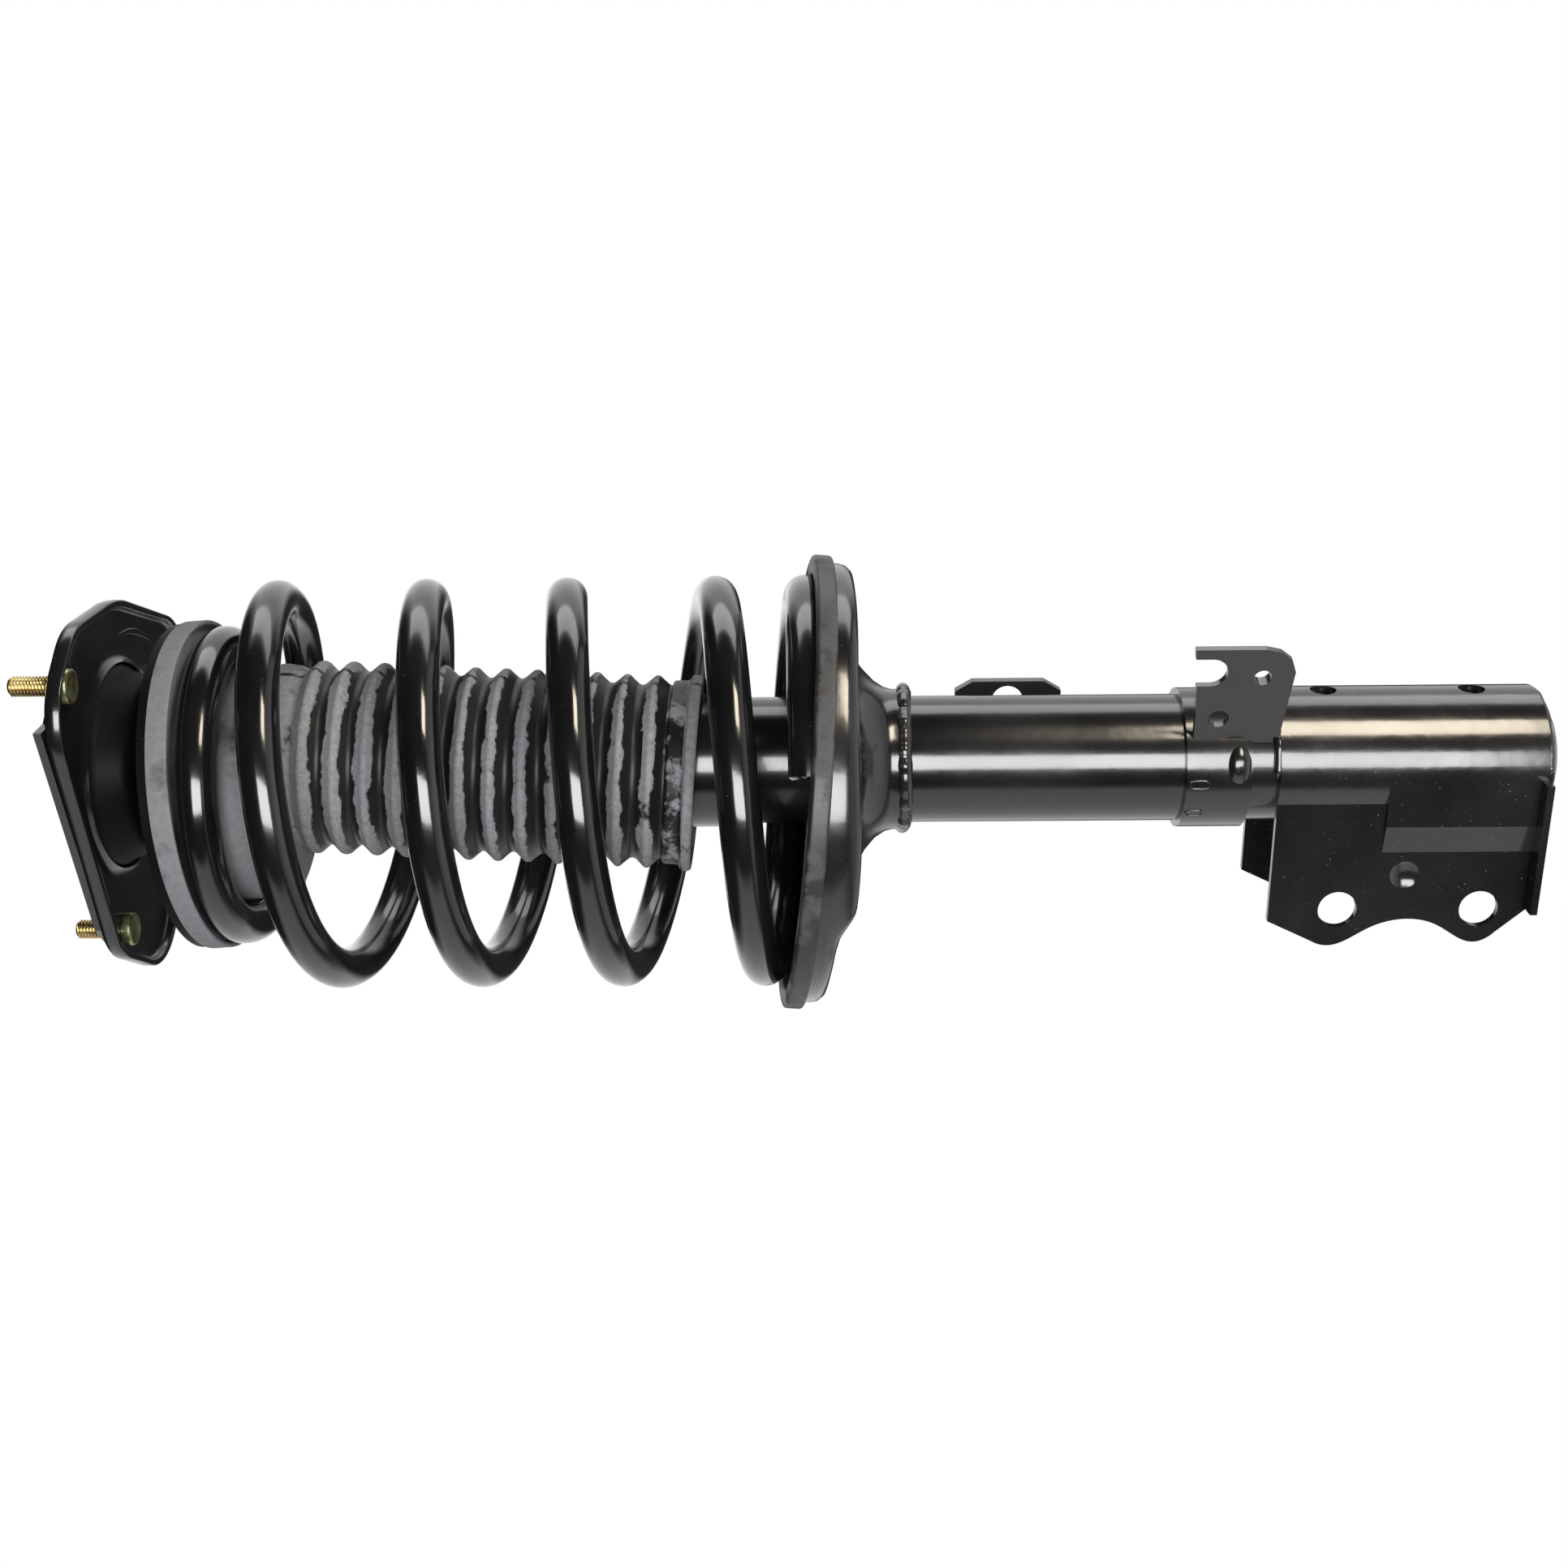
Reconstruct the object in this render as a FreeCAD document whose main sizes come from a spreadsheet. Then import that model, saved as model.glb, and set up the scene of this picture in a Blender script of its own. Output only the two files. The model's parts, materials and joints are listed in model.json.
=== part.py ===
import FreeCAD, Part
import math
import os
import Sketcher
from FreeCAD import Placement, Rotation, Vector

# Front suspension strut assembly, in millimetres.
# +Z runs along the strut axis towards the top mount, and z = 0 is the mount's upper seating face.
# +X is outboard, the way the knuckle bracket's ears reach.  Y is along the knuckle bolts.
doc = FreeCAD.newDocument("strut_assembly")
dims = doc.addObject("Spreadsheet::Sheet", "dims")

DRIVING = {
    "stud_circle_radius": 67.5, "stud_radius": 4.0, "stud_top": 13.5, "stud_head_flats": 13.2,
    "stud_head_height": 4.0,
    "stud_collar_radius": 4.7, "stud_collar_top": 0.6,
    "view_turn": 22.0, "first_stud_angle": 25.4,
    "sheet": 3.0, "plate_sheet": 3.2, "lip_depth": 6.3, "cup_radius": 42.0, "cup_depth": 17.0,
    "bearing_level": 20.0, "ball_circle": 15.0, "ball_radius": 3.0, "race_outer": 21.0,
    "race_half_height": 4.0, "thread_radius": 6.0, "rod_radius": 11.0, "rod_shoulder": 26.5,
    "rod_spigot": 320.0, "rod_end": 352.0, "nut_flats": 18.0, "nut_height": 10.0,
    "seat_radius": 66.0, "seat_level": 41.0, "seat_tilt": 4.0, "seat_offset": 9.0, "seat_sheet": 2.5,
    "insulator_radius": 65.0, "insulator_height": 3.6, "hub_radius": 48.0, "hub_length": 36.0,
    "bump_radius": 23.0, "bump_top": 44.0, "bump_end": 104.0,
    "boot_top": 81.0, "boot_first": 88.9, "boot_pitch": 12.25, "boot_pleats": 12.0,
    "boot_rise": 3.1, "boot_crest": 39.5,
    "boot_valley": 35.5, "boot_wall": 2.0, "boot_cuff": 37.5, "boot_bead": 40.2,
    "boot_bead_level": 237.0, "boot_droop": 3.2, "boot_flare": 38.5,
    "wire_radius": 8.2, "coil_radius": 74.9, "pigtail_radius": 56.6, "coil_offset": 9.0,
    "tube_radius": 25.5, "tube_wall": 2.5, "tube_top": 233.0, "tube_end": 578.0,
    "striker_radius": 26.9, "striker_top": 229.0, "striker_end": 251.0,
    "cylinder_inner": 16.0, "cylinder_outer": 17.5, "cylinder_top": 262.0, "cylinder_end": 560.0,
    "guide_end": 268.0, "running_gap": 0.05, "bush_wall": 1.5,
    "piston_top": 320.0, "piston_end": 338.0, "stop_top": 268.5, "stop_end": 276.5,
    "pan_radius": 89.0, "pan_level": 290.2, "pan_tilt": 5.8, "pan_offset": 10.0, "pan_sheet": 2.8,
    "pan_lip": 92.0, "neck_end": 325.0, "weld_radius": 30.0,
    "bracket_top": 471.0, "bracket_end": 575.4, "barrel_radius": 28.4, "bracket_sheet": 2.8,
    "ear_face": 26.5, "bolt_x": 56.0, "bolt_upper": 498.6, "bolt_lower": 555.0,
    "bolt_radius": 7.7, "dimple_x": 40.9, "dimple_level": 523.9, "dimple_radius": 5.8, "dimple_depth": 1.7,
    "flange_height": 8.5, "drain_radius": 5.2, "drain_upper": 491.8, "drain_lower": 550.6,
    "hose_band_top": 434.5, "hose_band_end": 460.0, "hose_band_radius": 28.1, "hose_sheet": 2.6,
    "hose_notch_radius": 6.3, "hose_thread_radius": 3.4, "hose_hole_radius": 3.9,
    "link_top": 347.4, "link_end": 391.0, "link_sheet": 4.5, "link_reach": 24.0,
    "link_hole_radius": 6.5, "link_hole_x": 15.5, "link_hole_level": 369.0,
    "seat_cone_wide": 44.0, "seat_cone_narrow": 15.0, "seat_cone_height": 18.0, "seat_rim_height": 2.0,
    "seat_rim_wall": 1.6, "hub_wall": 2.6, "pan_floor": 4.4, "pan_wall_top": 6.0, "pan_cone_wide": 52.0,
    "pan_cone_height": 24.0, "pan_cone_end": 316.0, "pad_inner": 58.0, "pad_top": 0.4,
    "pad_lip_top": 9.0, "ear_root": 8.0, "facet_start": 19.5, "facet_foot": 31.0, "facet_end": 514.0,
    "weld_start": 85.0, "weld_sweep": 190.0, "weld_run": 2.3, "plate_bore": 36.0, "cap_bore": 28.0,
    "tab_root": 10.0, "tab_slope_along": 4.2, "tab_slope_up": 7.1,
}
for row, (alias, value) in enumerate(DRIVING.items(), start=1):
    dims.set("A%d" % row, alias)
    dims.set("B%d" % row, str(value))
    dims.setAlias("B%d" % row, alias)
doc.recompute()

UP = Vector(0, 0, 1)
PARTS = []


def size(text):
    """The value of an expression over the sheet's aliases."""
    return float(dims.evalExpression(text))


def bound(text):
    """The same expression, as another object of the document writes it."""
    words = []
    for word in text.replace("(", " ( ").replace(")", " ) ").split():
        words.append("dims." + word if word in DRIVING else word)
    return " ".join(words)


def keep(obj, label):
    obj.Label = label
    PARTS.append(obj)
    return obj


def origin_plane(body, role):
    return next(item for item in body.Origin.OriginFeatures if item.Role == role)


def pin_point(sketch, edge, across, up):
    """Holds the start of one line at two sheet-driven distances from the sketch's origin."""
    for kind, axis, text in (("DistanceX", -2, across), ("DistanceY", -1, up)):
        if size(text) == 0:
            sketch.addConstraint(Sketcher.Constraint("PointOnObject", edge, 1, axis))
            continue
        number = sketch.addConstraint(Sketcher.Constraint(kind, -1, 1, edge, 1, size(text)))
        sketch.setExpression("Constraints[%d]" % number, bound(text))


def outline_sketch(body, role, corners):
    sketch = body.newObject("Sketcher::SketchObject", body.Name + "_outline")
    sketch.AttachmentSupport = [(origin_plane(body, role), "")]
    sketch.MapMode = "FlatFace"
    spots = [Vector(size(across), size(up), 0) for across, up in corners]
    for here, there in zip(spots, spots[1:] + spots[:1]):
        sketch.addGeometry(Part.LineSegment(here, there), False)
    for edge in range(len(spots)):
        following = (edge + 1) % len(spots)
        sketch.addConstraint(Sketcher.Constraint("Coincident", edge, 2, following, 1))
    for edge, (across, up) in enumerate(corners):
        pin_point(sketch, edge, across, up)
    return sketch


def turned(label, corners):
    """A body turned about Z from corners given as (radius, height) expressions."""
    body = doc.addObject("PartDesign::Body", label)
    sketch = outline_sketch(body, "XZ_Plane", corners)
    turn = body.newObject("PartDesign::Revolution", label + "_turn")
    turn.Profile = sketch
    turn.ReferenceAxis = (sketch, ["V_Axis"])
    turn.Angle = 360.0
    return keep(body, label)


def ring(label, inner, outer, low, high):
    """A plain turned ring."""
    return turned(label, [(inner, low), (outer, low), (outer, high), (inner, high)])


def cylinder(name, radius, height, base, turn=Rotation()):
    item = doc.addObject("Part::Cylinder", name)
    item.setExpression("Radius", bound(radius))
    item.setExpression("Height", bound(height))
    item.Placement = Placement(base, turn)
    return item


def cut(name, base, tool):
    item = doc.addObject("Part::Cut", name)
    item.Base = base
    item.Tool = tool
    return item


def fuse(name, pieces):
    item = doc.addObject("Part::MultiFuse", name)
    item.Shapes = pieces
    return item


def drawn(label, shape):
    """A sub-part whose shape needs Part's own functions."""
    item = doc.addObject("Part::Feature", label)
    item.Shape = shape
    item.Placement = Placement()
    return keep(item, label)


def hexagon(name, flats, height, base):
    item = doc.addObject("Part::Prism", name)
    item.Polygon = 6
    item.setExpression("Circumradius", bound("( %s ) / 1.7320508" % flats))
    item.setExpression("Height", bound(height))
    item.Placement = Placement(base, Rotation())
    return item


def around(angle, radius, level=0.0):
    """A point on a circle about Z; the angle is counted from the front, towards inboard."""
    turn = math.radians(angle + 90.0 + size("view_turn"))
    return Vector(radius * math.cos(turn), radius * math.sin(turn), level)


def solid_cylinder(radius, low, high, frame=Placement()):
    shape = Part.makeCylinder(radius, high - low, Vector(0, 0, low), UP)
    shape.Placement = frame
    return shape


def prism(points, low, high):
    """A straight-sided solid on XY points, from one level to another."""
    wire = Part.makePolygon([Vector(x, y, low) for x, y in points + points[:1]])
    return Part.Face(wire).extrude(Vector(0, 0, high - low))


# ---------------------------------------------------------------- top mount
STUD_ANGLES = [size("first_stud_angle") + 120.0 * number for number in range(3)]
STUDS = [around(angle, size("stud_circle_radius")) for angle in STUD_ANGLES]


def belt(circles, grow):
    """A closed outline round a list of (centre, radius) circles, arcs joined by tangent lines."""
    ends = []
    for (here, radius), (there, other) in zip(circles, circles[1:] + circles[:1]):
        apart = there - here
        heading = math.atan2(apart.y, apart.x)
        lean = heading - math.pi / 2 + math.asin((radius - other) / apart.Length)
        normal = Vector(math.cos(lean), math.sin(lean), 0)
        ends.append((here + normal * (radius + grow), there + normal * (other + grow), normal))
    edges = []
    for number, (leave, arrive, normal) in enumerate(ends):
        edges.append(Part.LineSegment(leave, arrive).toShape())
        centre, radius = circles[(number + 1) % len(circles)]
        following = ends[(number + 1) % len(ends)]
        middle = (normal + following[2]).normalize() * (radius + grow) + centre
        edges.append(Part.Arc(arrive, middle, following[0]).toShape())
    return Part.Face(Part.Wire(edges))


# (angle, distance of the centre from the axis, radius) of the circles that the plate's edge runs round
PLATE_LOBES = [(24.0, 45.5, 30.0), (36.4, 47.2, 28.0), (90.0, 2.0, 65.0), (142.8, 62.8, 27.5),
               (-121.3, 65.5, 29.0), (-98.6, 53.6, 27.0)]
# (angle, distance from the axis) of the upper plate's corners
PLATE_CORNERS = [(8.3, 74.4), (13.0, 65.7), (26.0, 63.5), (35.0, 64.0), (60.0, 60.0), (110.0, 58.0),
                 (136.0, 80.0), (152.0, 80.0), (-120.0, 78.0), (-95.0, 77.0), (-79.5, 67.8)]


def mount_plate():
    """The pressed lower plate: a rounded triangle with a lip turned towards the spring."""
    corners = [(around(angle, away), radius) for angle, away, radius in PLATE_LOBES]
    top = -size("sheet")
    floor = size("plate_sheet")
    lip = size("lip_depth")
    outer = belt(corners, 0.0)
    inner = belt(corners, -floor)
    outer.translate(Vector(0, 0, top - lip))
    inner.translate(Vector(0, 0, top - lip))
    plate = outer.extrude(Vector(0, 0, lip)).cut(inner.extrude(Vector(0, 0, lip - floor)))
    plate = plate.cut(solid_cylinder(size("plate_bore"), -30, 5))
    relief = size("stud_head_flats / 2 + 1.1")
    for spot in STUDS:
        hole = solid_cylinder(size("stud_collar_radius") + 0.05, -30, 5)
        room = solid_cylinder(relief, -30, top - floor)
        hole.translate(spot)
        room.translate(spot)
        plate = plate.cut(hole).cut(room)
    return drawn("mount_plate", plate)


def reinforcement_plate():
    """The straight-edged upper plate that seats against the car body."""
    points = [around(angle, away) for angle, away in PLATE_CORNERS]
    plate = prism([(spot.x, spot.y) for spot in points], -size("sheet"), 0.0)
    plate = plate.cut(solid_cylinder(size("cap_bore"), -30, 5))
    for spot in STUDS:
        hole = solid_cylinder(size("stud_collar_radius") + 0.05, -30, 5)
        hole.translate(spot)
        plate = plate.cut(hole)
    return drawn("reinforcement_plate", plate)


def mount_studs():
    """Three press-in studs: a hexagonal head, a collar that fills the plates' holes, and a shaft."""
    pieces = []
    for number, spot in enumerate(STUDS):
        level = -size("sheet + plate_sheet + stud_head_height")
        head = hexagon("stud_head_%d" % number, "stud_head_flats", "stud_head_height",
                       Vector(spot.x, spot.y, level))
        shaft = cylinder("stud_shaft_%d" % number, "stud_radius",
                         "sheet + plate_sheet + stud_head_height + stud_top",
                         Vector(spot.x, spot.y, level))
        collar = cylinder("stud_collar_%d" % number, "stud_collar_radius",
                          "sheet + plate_sheet + stud_head_height + stud_collar_top",
                          Vector(spot.x, spot.y, level))
        pieces.append(fuse("stud_%d" % number, [head, shaft, collar]))
    group = doc.addObject("Part::Compound", "mount_studs")
    group.Links = pieces
    return keep(group, "mount_studs")


mount_plate()
reinforcement_plate()
mount_studs()
turned("mount_cup", [
    ("cup_radius - 6", "0 - sheet"), ("cup_radius - 9", "0 - sheet"),
    ("cup_radius - 9", "0 - cup_depth - 2"), ("race_outer + 4", "0 - cup_depth - 4"),
    ("race_outer + 4", "0 - cup_depth - 6.5"), ("cup_radius - 6.5", "0 - cup_depth - 4.5"),
    ("cup_radius - 3", "0 - sheet - plate_sheet - 2"), ("cup_radius", "0 - sheet - plate_sheet"),
    ("cup_radius - 6", "0 - sheet - plate_sheet")])
turned("mount_rubber", [
    ("race_outer + 1.5", "0 - bearing_level - race_half_height"),
    ("race_outer + 3.9", "0 - cup_depth - 4"),
    ("cup_radius - 9.1", "0 - cup_depth - 1.9"),
    ("cup_radius - 9.1", "0 - sheet - 3"),
    ("race_outer + 1.5", "0 - bearing_level + race_half_height + 2")])
ring("bearing_housing", "race_outer", "race_outer + 1.5",
     "0 - bearing_level - race_half_height", "0 - bearing_level + race_half_height + 2")


def race(label, inner, outer):
    """One bearing race: a ring with the ball track cut into it."""
    level = size("bearing_level + race_half_height")
    outside = cylinder(label + "_outside", outer, "race_half_height * 2", Vector(0, 0, -level))
    inside = cylinder(label + "_inside", inner, "race_half_height * 2 + 2", Vector(0, 0, -level - 1))
    track = doc.addObject("Part::Torus", label + "_track")
    track.setExpression("Radius1", bound("ball_circle"))
    track.setExpression("Radius2", bound("ball_radius + 0.05"))
    track.Placement.Base = Vector(0, 0, -size("bearing_level"))
    blank = cut(label + "_blank", outside, inside)
    return keep(cut(label, blank, track), label)


race("bearing_outer_race", "ball_circle + 1.2", "race_outer")

# ---------------------------------------------------------------- rod, turning in the mount
race("bearing_inner_race", "thread_radius + 0.1", "ball_circle - 1.2")


def bearing_balls():
    balls = []
    for number in range(12):
        turn = math.radians(30.0 * number)
        ball = doc.addObject("Part::Sphere", "ball_%02d" % number)
        ball.setExpression("Radius", bound("ball_radius"))
        ball.Placement.Base = Vector(size("ball_circle") * math.cos(turn),
                                     size("ball_circle") * math.sin(turn), -size("bearing_level"))
        balls.append(ball)
    group = doc.addObject("Part::Compound", "bearing_balls")
    group.Links = balls
    return keep(group, "bearing_balls")


bearing_balls()
turned("piston_rod", [
    ("0", "1"), ("thread_radius - 1", "1"), ("thread_radius", "0"),
    ("thread_radius", "0 - rod_shoulder"), ("rod_radius - 1", "0 - rod_shoulder"),
    ("rod_radius", "0 - rod_shoulder - 1"), ("rod_radius", "0 - rod_spigot"),
    ("thread_radius", "0 - rod_spigot"), ("thread_radius", "1 - rod_end"),
    ("thread_radius - 1", "0 - rod_end"), ("0", "0 - rod_end")])


def nut(label, level):
    """A hexagonal nut on the rod's thread, its lower face at the given level."""
    block = hexagon(label + "_block", "nut_flats", "nut_height", Vector(0, 0, level))
    bore = cylinder(label + "_bore", "thread_radius + 0.05", "nut_height + 2", Vector(0, 0, level - 1))
    return keep(cut(label, block, bore), label)


nut("rod_nut", -size("bearing_level - race_half_height") + 2.0)
ring("rod_washer", "thread_radius + 0.1", "ball_circle - 1.5",
     "0 - bearing_level + race_half_height", "2 - bearing_level + race_half_height")

SEAT_FRAME = Placement(Vector(size("seat_offset"), 0, -size("seat_level")),
                       Rotation(Vector(0, 1, 0), size("seat_tilt")))


def upper_spring_seat():
    """A pressed dish: a straight cone down from the rod to a tilted, offset flange."""
    sheet = size("seat_sheet")
    top = -size("rod_shoulder") + sheet
    wide = size("seat_cone_wide")
    narrow = size("seat_cone_narrow")
    height = size("seat_cone_height") + sheet
    cone = Part.makeCone(wide, narrow, height, Vector(0, 0, top - height), UP)
    flange = solid_cylinder(size("seat_radius"), 0.0, sheet, SEAT_FRAME)
    rim_top = sheet + size("seat_rim_height")
    rim = solid_cylinder(size("seat_radius"), 0.0, rim_top, SEAT_FRAME)
    rim = rim.cut(solid_cylinder(size("seat_radius - seat_rim_wall"), 0.0, rim_top, SEAT_FRAME))
    dish = cone.fuse([flange, rim])
    depth = height + 1.0
    hollow = Part.makeCone(wide + sheet, narrow - 3.0, depth, Vector(0, 0, top - sheet - depth), UP)
    below = solid_cylinder(60.0, -30.0, 0.0, SEAT_FRAME)
    dish = dish.cut(hollow).cut(below)
    dish = dish.cut(solid_cylinder(size("thread_radius") + 0.1, -60, 0))
    return drawn("upper_spring_seat", dish.removeSplitter())


def upper_insulator():
    """The rubber ring under the seat's flange and its sleeve inside the spring's end turn."""
    outer = size("insulator_radius")
    hub = size("hub_radius")
    low = -size("insulator_height")
    disc = solid_cylinder(outer, low, 0.0, SEAT_FRAME)
    sleeve = solid_cylinder(hub, -size("hub_length"), 0.0, SEAT_FRAME)
    bore = solid_cylinder(hub - size("hub_wall"), -60.0, 5.0, SEAT_FRAME)
    return drawn("upper_insulator", disc.fuse(sleeve).cut(bore).removeSplitter())


upper_spring_seat()
upper_insulator()
turned("bump_stop", [
    ("rod_radius + 0.4", "0 - bump_top"), ("bump_radius", "0 - bump_top"),
    ("bump_radius", "0 - bump_top - 16"), ("bump_radius - 4", "0 - bump_top - 20"),
    ("bump_radius", "0 - bump_top - 24"), ("bump_radius", "0 - bump_top - 34"),
    ("bump_radius - 4", "0 - bump_top - 38"), ("bump_radius - 2", "0 - bump_top - 42"),
    ("bump_radius - 5", "0 - bump_end"), ("rod_radius + 0.4", "0 - bump_end")])


def dust_boot():
    """A pleated rubber sleeve hung from the insulator's hub, drooping a little to outboard."""
    wall = size("boot_wall")
    top = -size("boot_top")
    crest = size("boot_crest")
    valley = size("boot_valley")
    pitch = size("boot_pitch")
    outside = [(size("boot_flare"), top)]
    for number in range(int(size("boot_pleats"))):
        middle = -size("boot_first") - pitch * number
        outside.append((valley, middle + pitch * 0.5))
        outside.append((crest, middle))
    cuff = size("boot_cuff")
    bead = size("boot_bead_level")
    outside += [(valley, middle - pitch * 0.5), (cuff, middle - pitch * 0.6), (cuff, -bead + 2.5),
                (size("boot_bead"), -bead + 2.0), (size("boot_bead"), -bead - 3.0)]
    inside = [(radius - wall, level) for radius, level in reversed(outside)]
    inside[0] = (cuff - wall, -bead - 3.0)
    inside[1] = (cuff - wall, -bead + 2.0)
    points = [Vector(radius, 0, level) for radius, level in outside + inside]
    face = Part.Face(Part.makePolygon(points + points[:1]))
    boot = face.revolve(Vector(), UP, 360)
    boot.rotate(Vector(0, 0, top), Vector(0, 1, 0), -size("boot_droop"))
    boot.translate(around(90.0, size("boot_rise")))
    return drawn("dust_boot", boot)


dust_boot()

# (turns from the upper end, height of the wire's centre).  The first turn lies on the upper
# insulator, the last ends on the lower one, and the free turns lean a little towards outboard.
COIL_LEVELS = [(0.0, -51.5), (0.25, -51.0), (0.5, -54.2), (0.75, -57.2), (1.25, -72.5), (1.75, -98.8),
               (2.25, -132.3), (2.75, -155.7), (3.25, -188.9), (3.75, -212.6), (4.25, -248.8),
               (4.75, -269.5), (5.0, -276.8), (5.25, -285.2), (5.5, -287.6)]
COIL_START = 0.12
COIL_END = COIL_LEVELS[-1][0]


def coil_level(turns):
    """The wire's height after some turns, on a smooth curve through COIL_LEVELS."""
    last = len(COIL_LEVELS) - 1
    here = max(number for number in range(last) if COIL_LEVELS[number][0] <= turns + 1e-9)

    def slope(number):
        before = COIL_LEVELS[max(number - 1, 0)]
        after = COIL_LEVELS[min(number + 1, last)]
        return (after[1] - before[1]) / (after[0] - before[0])

    (start, low), (end, high) = COIL_LEVELS[here], COIL_LEVELS[here + 1]
    span = end - start
    part = (turns - start) / span
    rise = part * part * (3.0 - 2.0 * part)
    lead = part * (1.0 - part) ** 2 * span * slope(here)
    trail = part * part * (part - 1.0) * span * slope(here + 1)
    return low + (high - low) * rise + lead + trail


def coil_point(turns):
    grow = min(max((turns - 0.72) / 0.5, 0.0), 1.0)
    grow = grow * grow * (3.0 - 2.0 * grow)
    small = size("pigtail_radius")
    radius = small + (size("coil_radius") - small) * grow
    spot = around(180.0 - 360.0 * turns, radius)
    return Vector(spot.x + size("coil_offset"), spot.y, coil_level(turns))


def coil_spring():
    """Round wire swept along a right-handed coil with a smaller end turn."""
    steps = 16
    turns = COIL_END - COIL_START
    count = int(turns * steps)
    points = [coil_point(COIL_START + turns * number / count) for number in range(count + 1)]
    path = Part.BSplineCurve()
    path.interpolate(points)
    spine = Part.Wire(path.toShape())
    start = path.tangent(path.FirstParameter)[0]
    circle = Part.Wire(Part.Circle(points[0], start, size("wire_radius")).toShape())
    shape = spine.makePipeShell([circle], True, True)
    section = math.pi * size("wire_radius") ** 2 * spine.Length
    print("spring volume over section times length: %.4f" % (shape.Volume / section))
    return drawn("coil_spring", shape)


coil_spring()
ring("rebound_stop", "rod_radius", "cylinder_inner - 1", "0 - stop_end", "0 - stop_top")
ring("piston", "thread_radius + 0.02", "cylinder_inner - 0.25", "0 - piston_end + 1", "0 - piston_top - 2")
ring("piston_shim_upper", "thread_radius + 0.02", "cylinder_inner - 4",
     "0 - piston_top - 2", "0 - piston_top")
ring("piston_shim_lower", "thread_radius + 0.02", "cylinder_inner - 4", "0 - piston_end", "1 - piston_end")
nut("piston_nut", -size("piston_end + nut_height"))

# ---------------------------------------------------------------- damper tube
turned("outer_tube", [
    ("tube_radius - tube_wall", "0 - tube_end"), ("tube_radius", "0 - tube_end"),
    ("tube_radius", "0 - tube_top"), ("tube_radius - 2", "0 - tube_top + 1.2"),
    ("tube_radius - 4", "0 - tube_top + 1.2"), ("tube_radius - 4", "0 - tube_top - 0.8"),
    ("tube_radius - tube_wall", "0 - tube_top - 0.8")])
turned("base_cap", [
    ("0", "0 - tube_end - 3"), ("tube_radius - 6", "0 - tube_end - 3"),
    ("tube_radius - 1", "0 - tube_end"), ("tube_radius - tube_wall", "0 - tube_end"),
    ("tube_radius - tube_wall", "12 - tube_end"), ("tube_radius - 5", "12 - tube_end"),
    ("tube_radius - 8", "2 - tube_end"), ("0", "2 - tube_end")])
ring("inner_cylinder", "cylinder_inner", "cylinder_outer", "0 - cylinder_end", "0 - cylinder_top")
turned("base_valve", [
    ("0", "0 - cylinder_end - 8"), ("cylinder_outer", "0 - cylinder_end - 8"),
    ("cylinder_outer", "0 - cylinder_end"), ("cylinder_inner", "0 - cylinder_end"),
    ("cylinder_inner", "6 - cylinder_end"), ("0", "6 - cylinder_end")])
turned("rod_guide", [
    ("rod_radius + running_gap + bush_wall", "0 - guide_end"),
    ("cylinder_inner", "0 - guide_end"), ("cylinder_inner", "0 - cylinder_top"),
    ("tube_radius - tube_wall", "0 - cylinder_top"),
    ("tube_radius - tube_wall", "0 - tube_top - 9"),
    ("rod_radius + running_gap + bush_wall", "0 - tube_top - 9")])
ring("guide_bush", "rod_radius + running_gap", "rod_radius + running_gap + bush_wall",
     "0 - guide_end", "0 - tube_top - 9")
ring("oil_seal", "rod_radius + running_gap", "tube_radius - tube_wall",
     "0 - tube_top - 9", "0 - tube_top - 0.8")
turned("striker_cap", [
    ("tube_radius", "0 - striker_end"), ("striker_radius", "0 - striker_end"),
    ("striker_radius", "0 - striker_top - 1.5"), ("striker_radius - 1.5", "0 - striker_top"),
    ("rod_radius + 0.8", "0 - striker_top"), ("rod_radius + 0.8", "0 - striker_top - 1.4"),
    ("tube_radius - 0.4", "0 - striker_top - 1.4"), ("tube_radius", "0 - striker_top - 1.9")])

PAN_DOWNHILL = around(45.0, 1.0)
PAN_FRAME = Placement(Vector(size("pan_offset"), 0, -size("pan_level")),
                      Rotation(UP.cross(PAN_DOWNHILL), size("pan_tilt")))


def lower_spring_seat():
    """A pressed pan on a tilted, offset axis, drawn down to a neck round the tube."""
    sheet = size("pan_sheet")
    outer = size("pan_radius")
    floor = -size("pan_floor")
    wall_top = size("pan_wall_top")
    tube = size("tube_radius")
    wide = size("pan_cone_wide")
    height = size("pan_cone_height")
    cone_end = size("pan_cone_end")
    pan = solid_cylinder(outer, floor - sheet, wall_top, PAN_FRAME)
    pan = pan.cut(solid_cylinder(outer - sheet, floor, wall_top + 1.0, PAN_FRAME))
    cone = Part.makeCone(tube + sheet, wide, height, Vector(0, 0, -cone_end), UP)
    collar = Part.makeCylinder(tube + sheet, size("neck_end") - cone_end + 0.1,
                               Vector(0, 0, -size("neck_end")), UP)
    above = solid_cylinder(outer + 20.0, floor, 60.0, PAN_FRAME)
    hollow = Part.makeCone(tube + 0.05, wide - sheet, height, Vector(0, 0, 3.2 - cone_end), UP)
    solid = pan.fuse(cone.cut(above)).fuse(collar).cut(hollow)
    solid = solid.cut(Part.makeCylinder(tube, 60.0, Vector(0, 0, -size("neck_end") - 1), UP))
    return drawn("lower_spring_seat", solid.removeSplitter())


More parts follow.
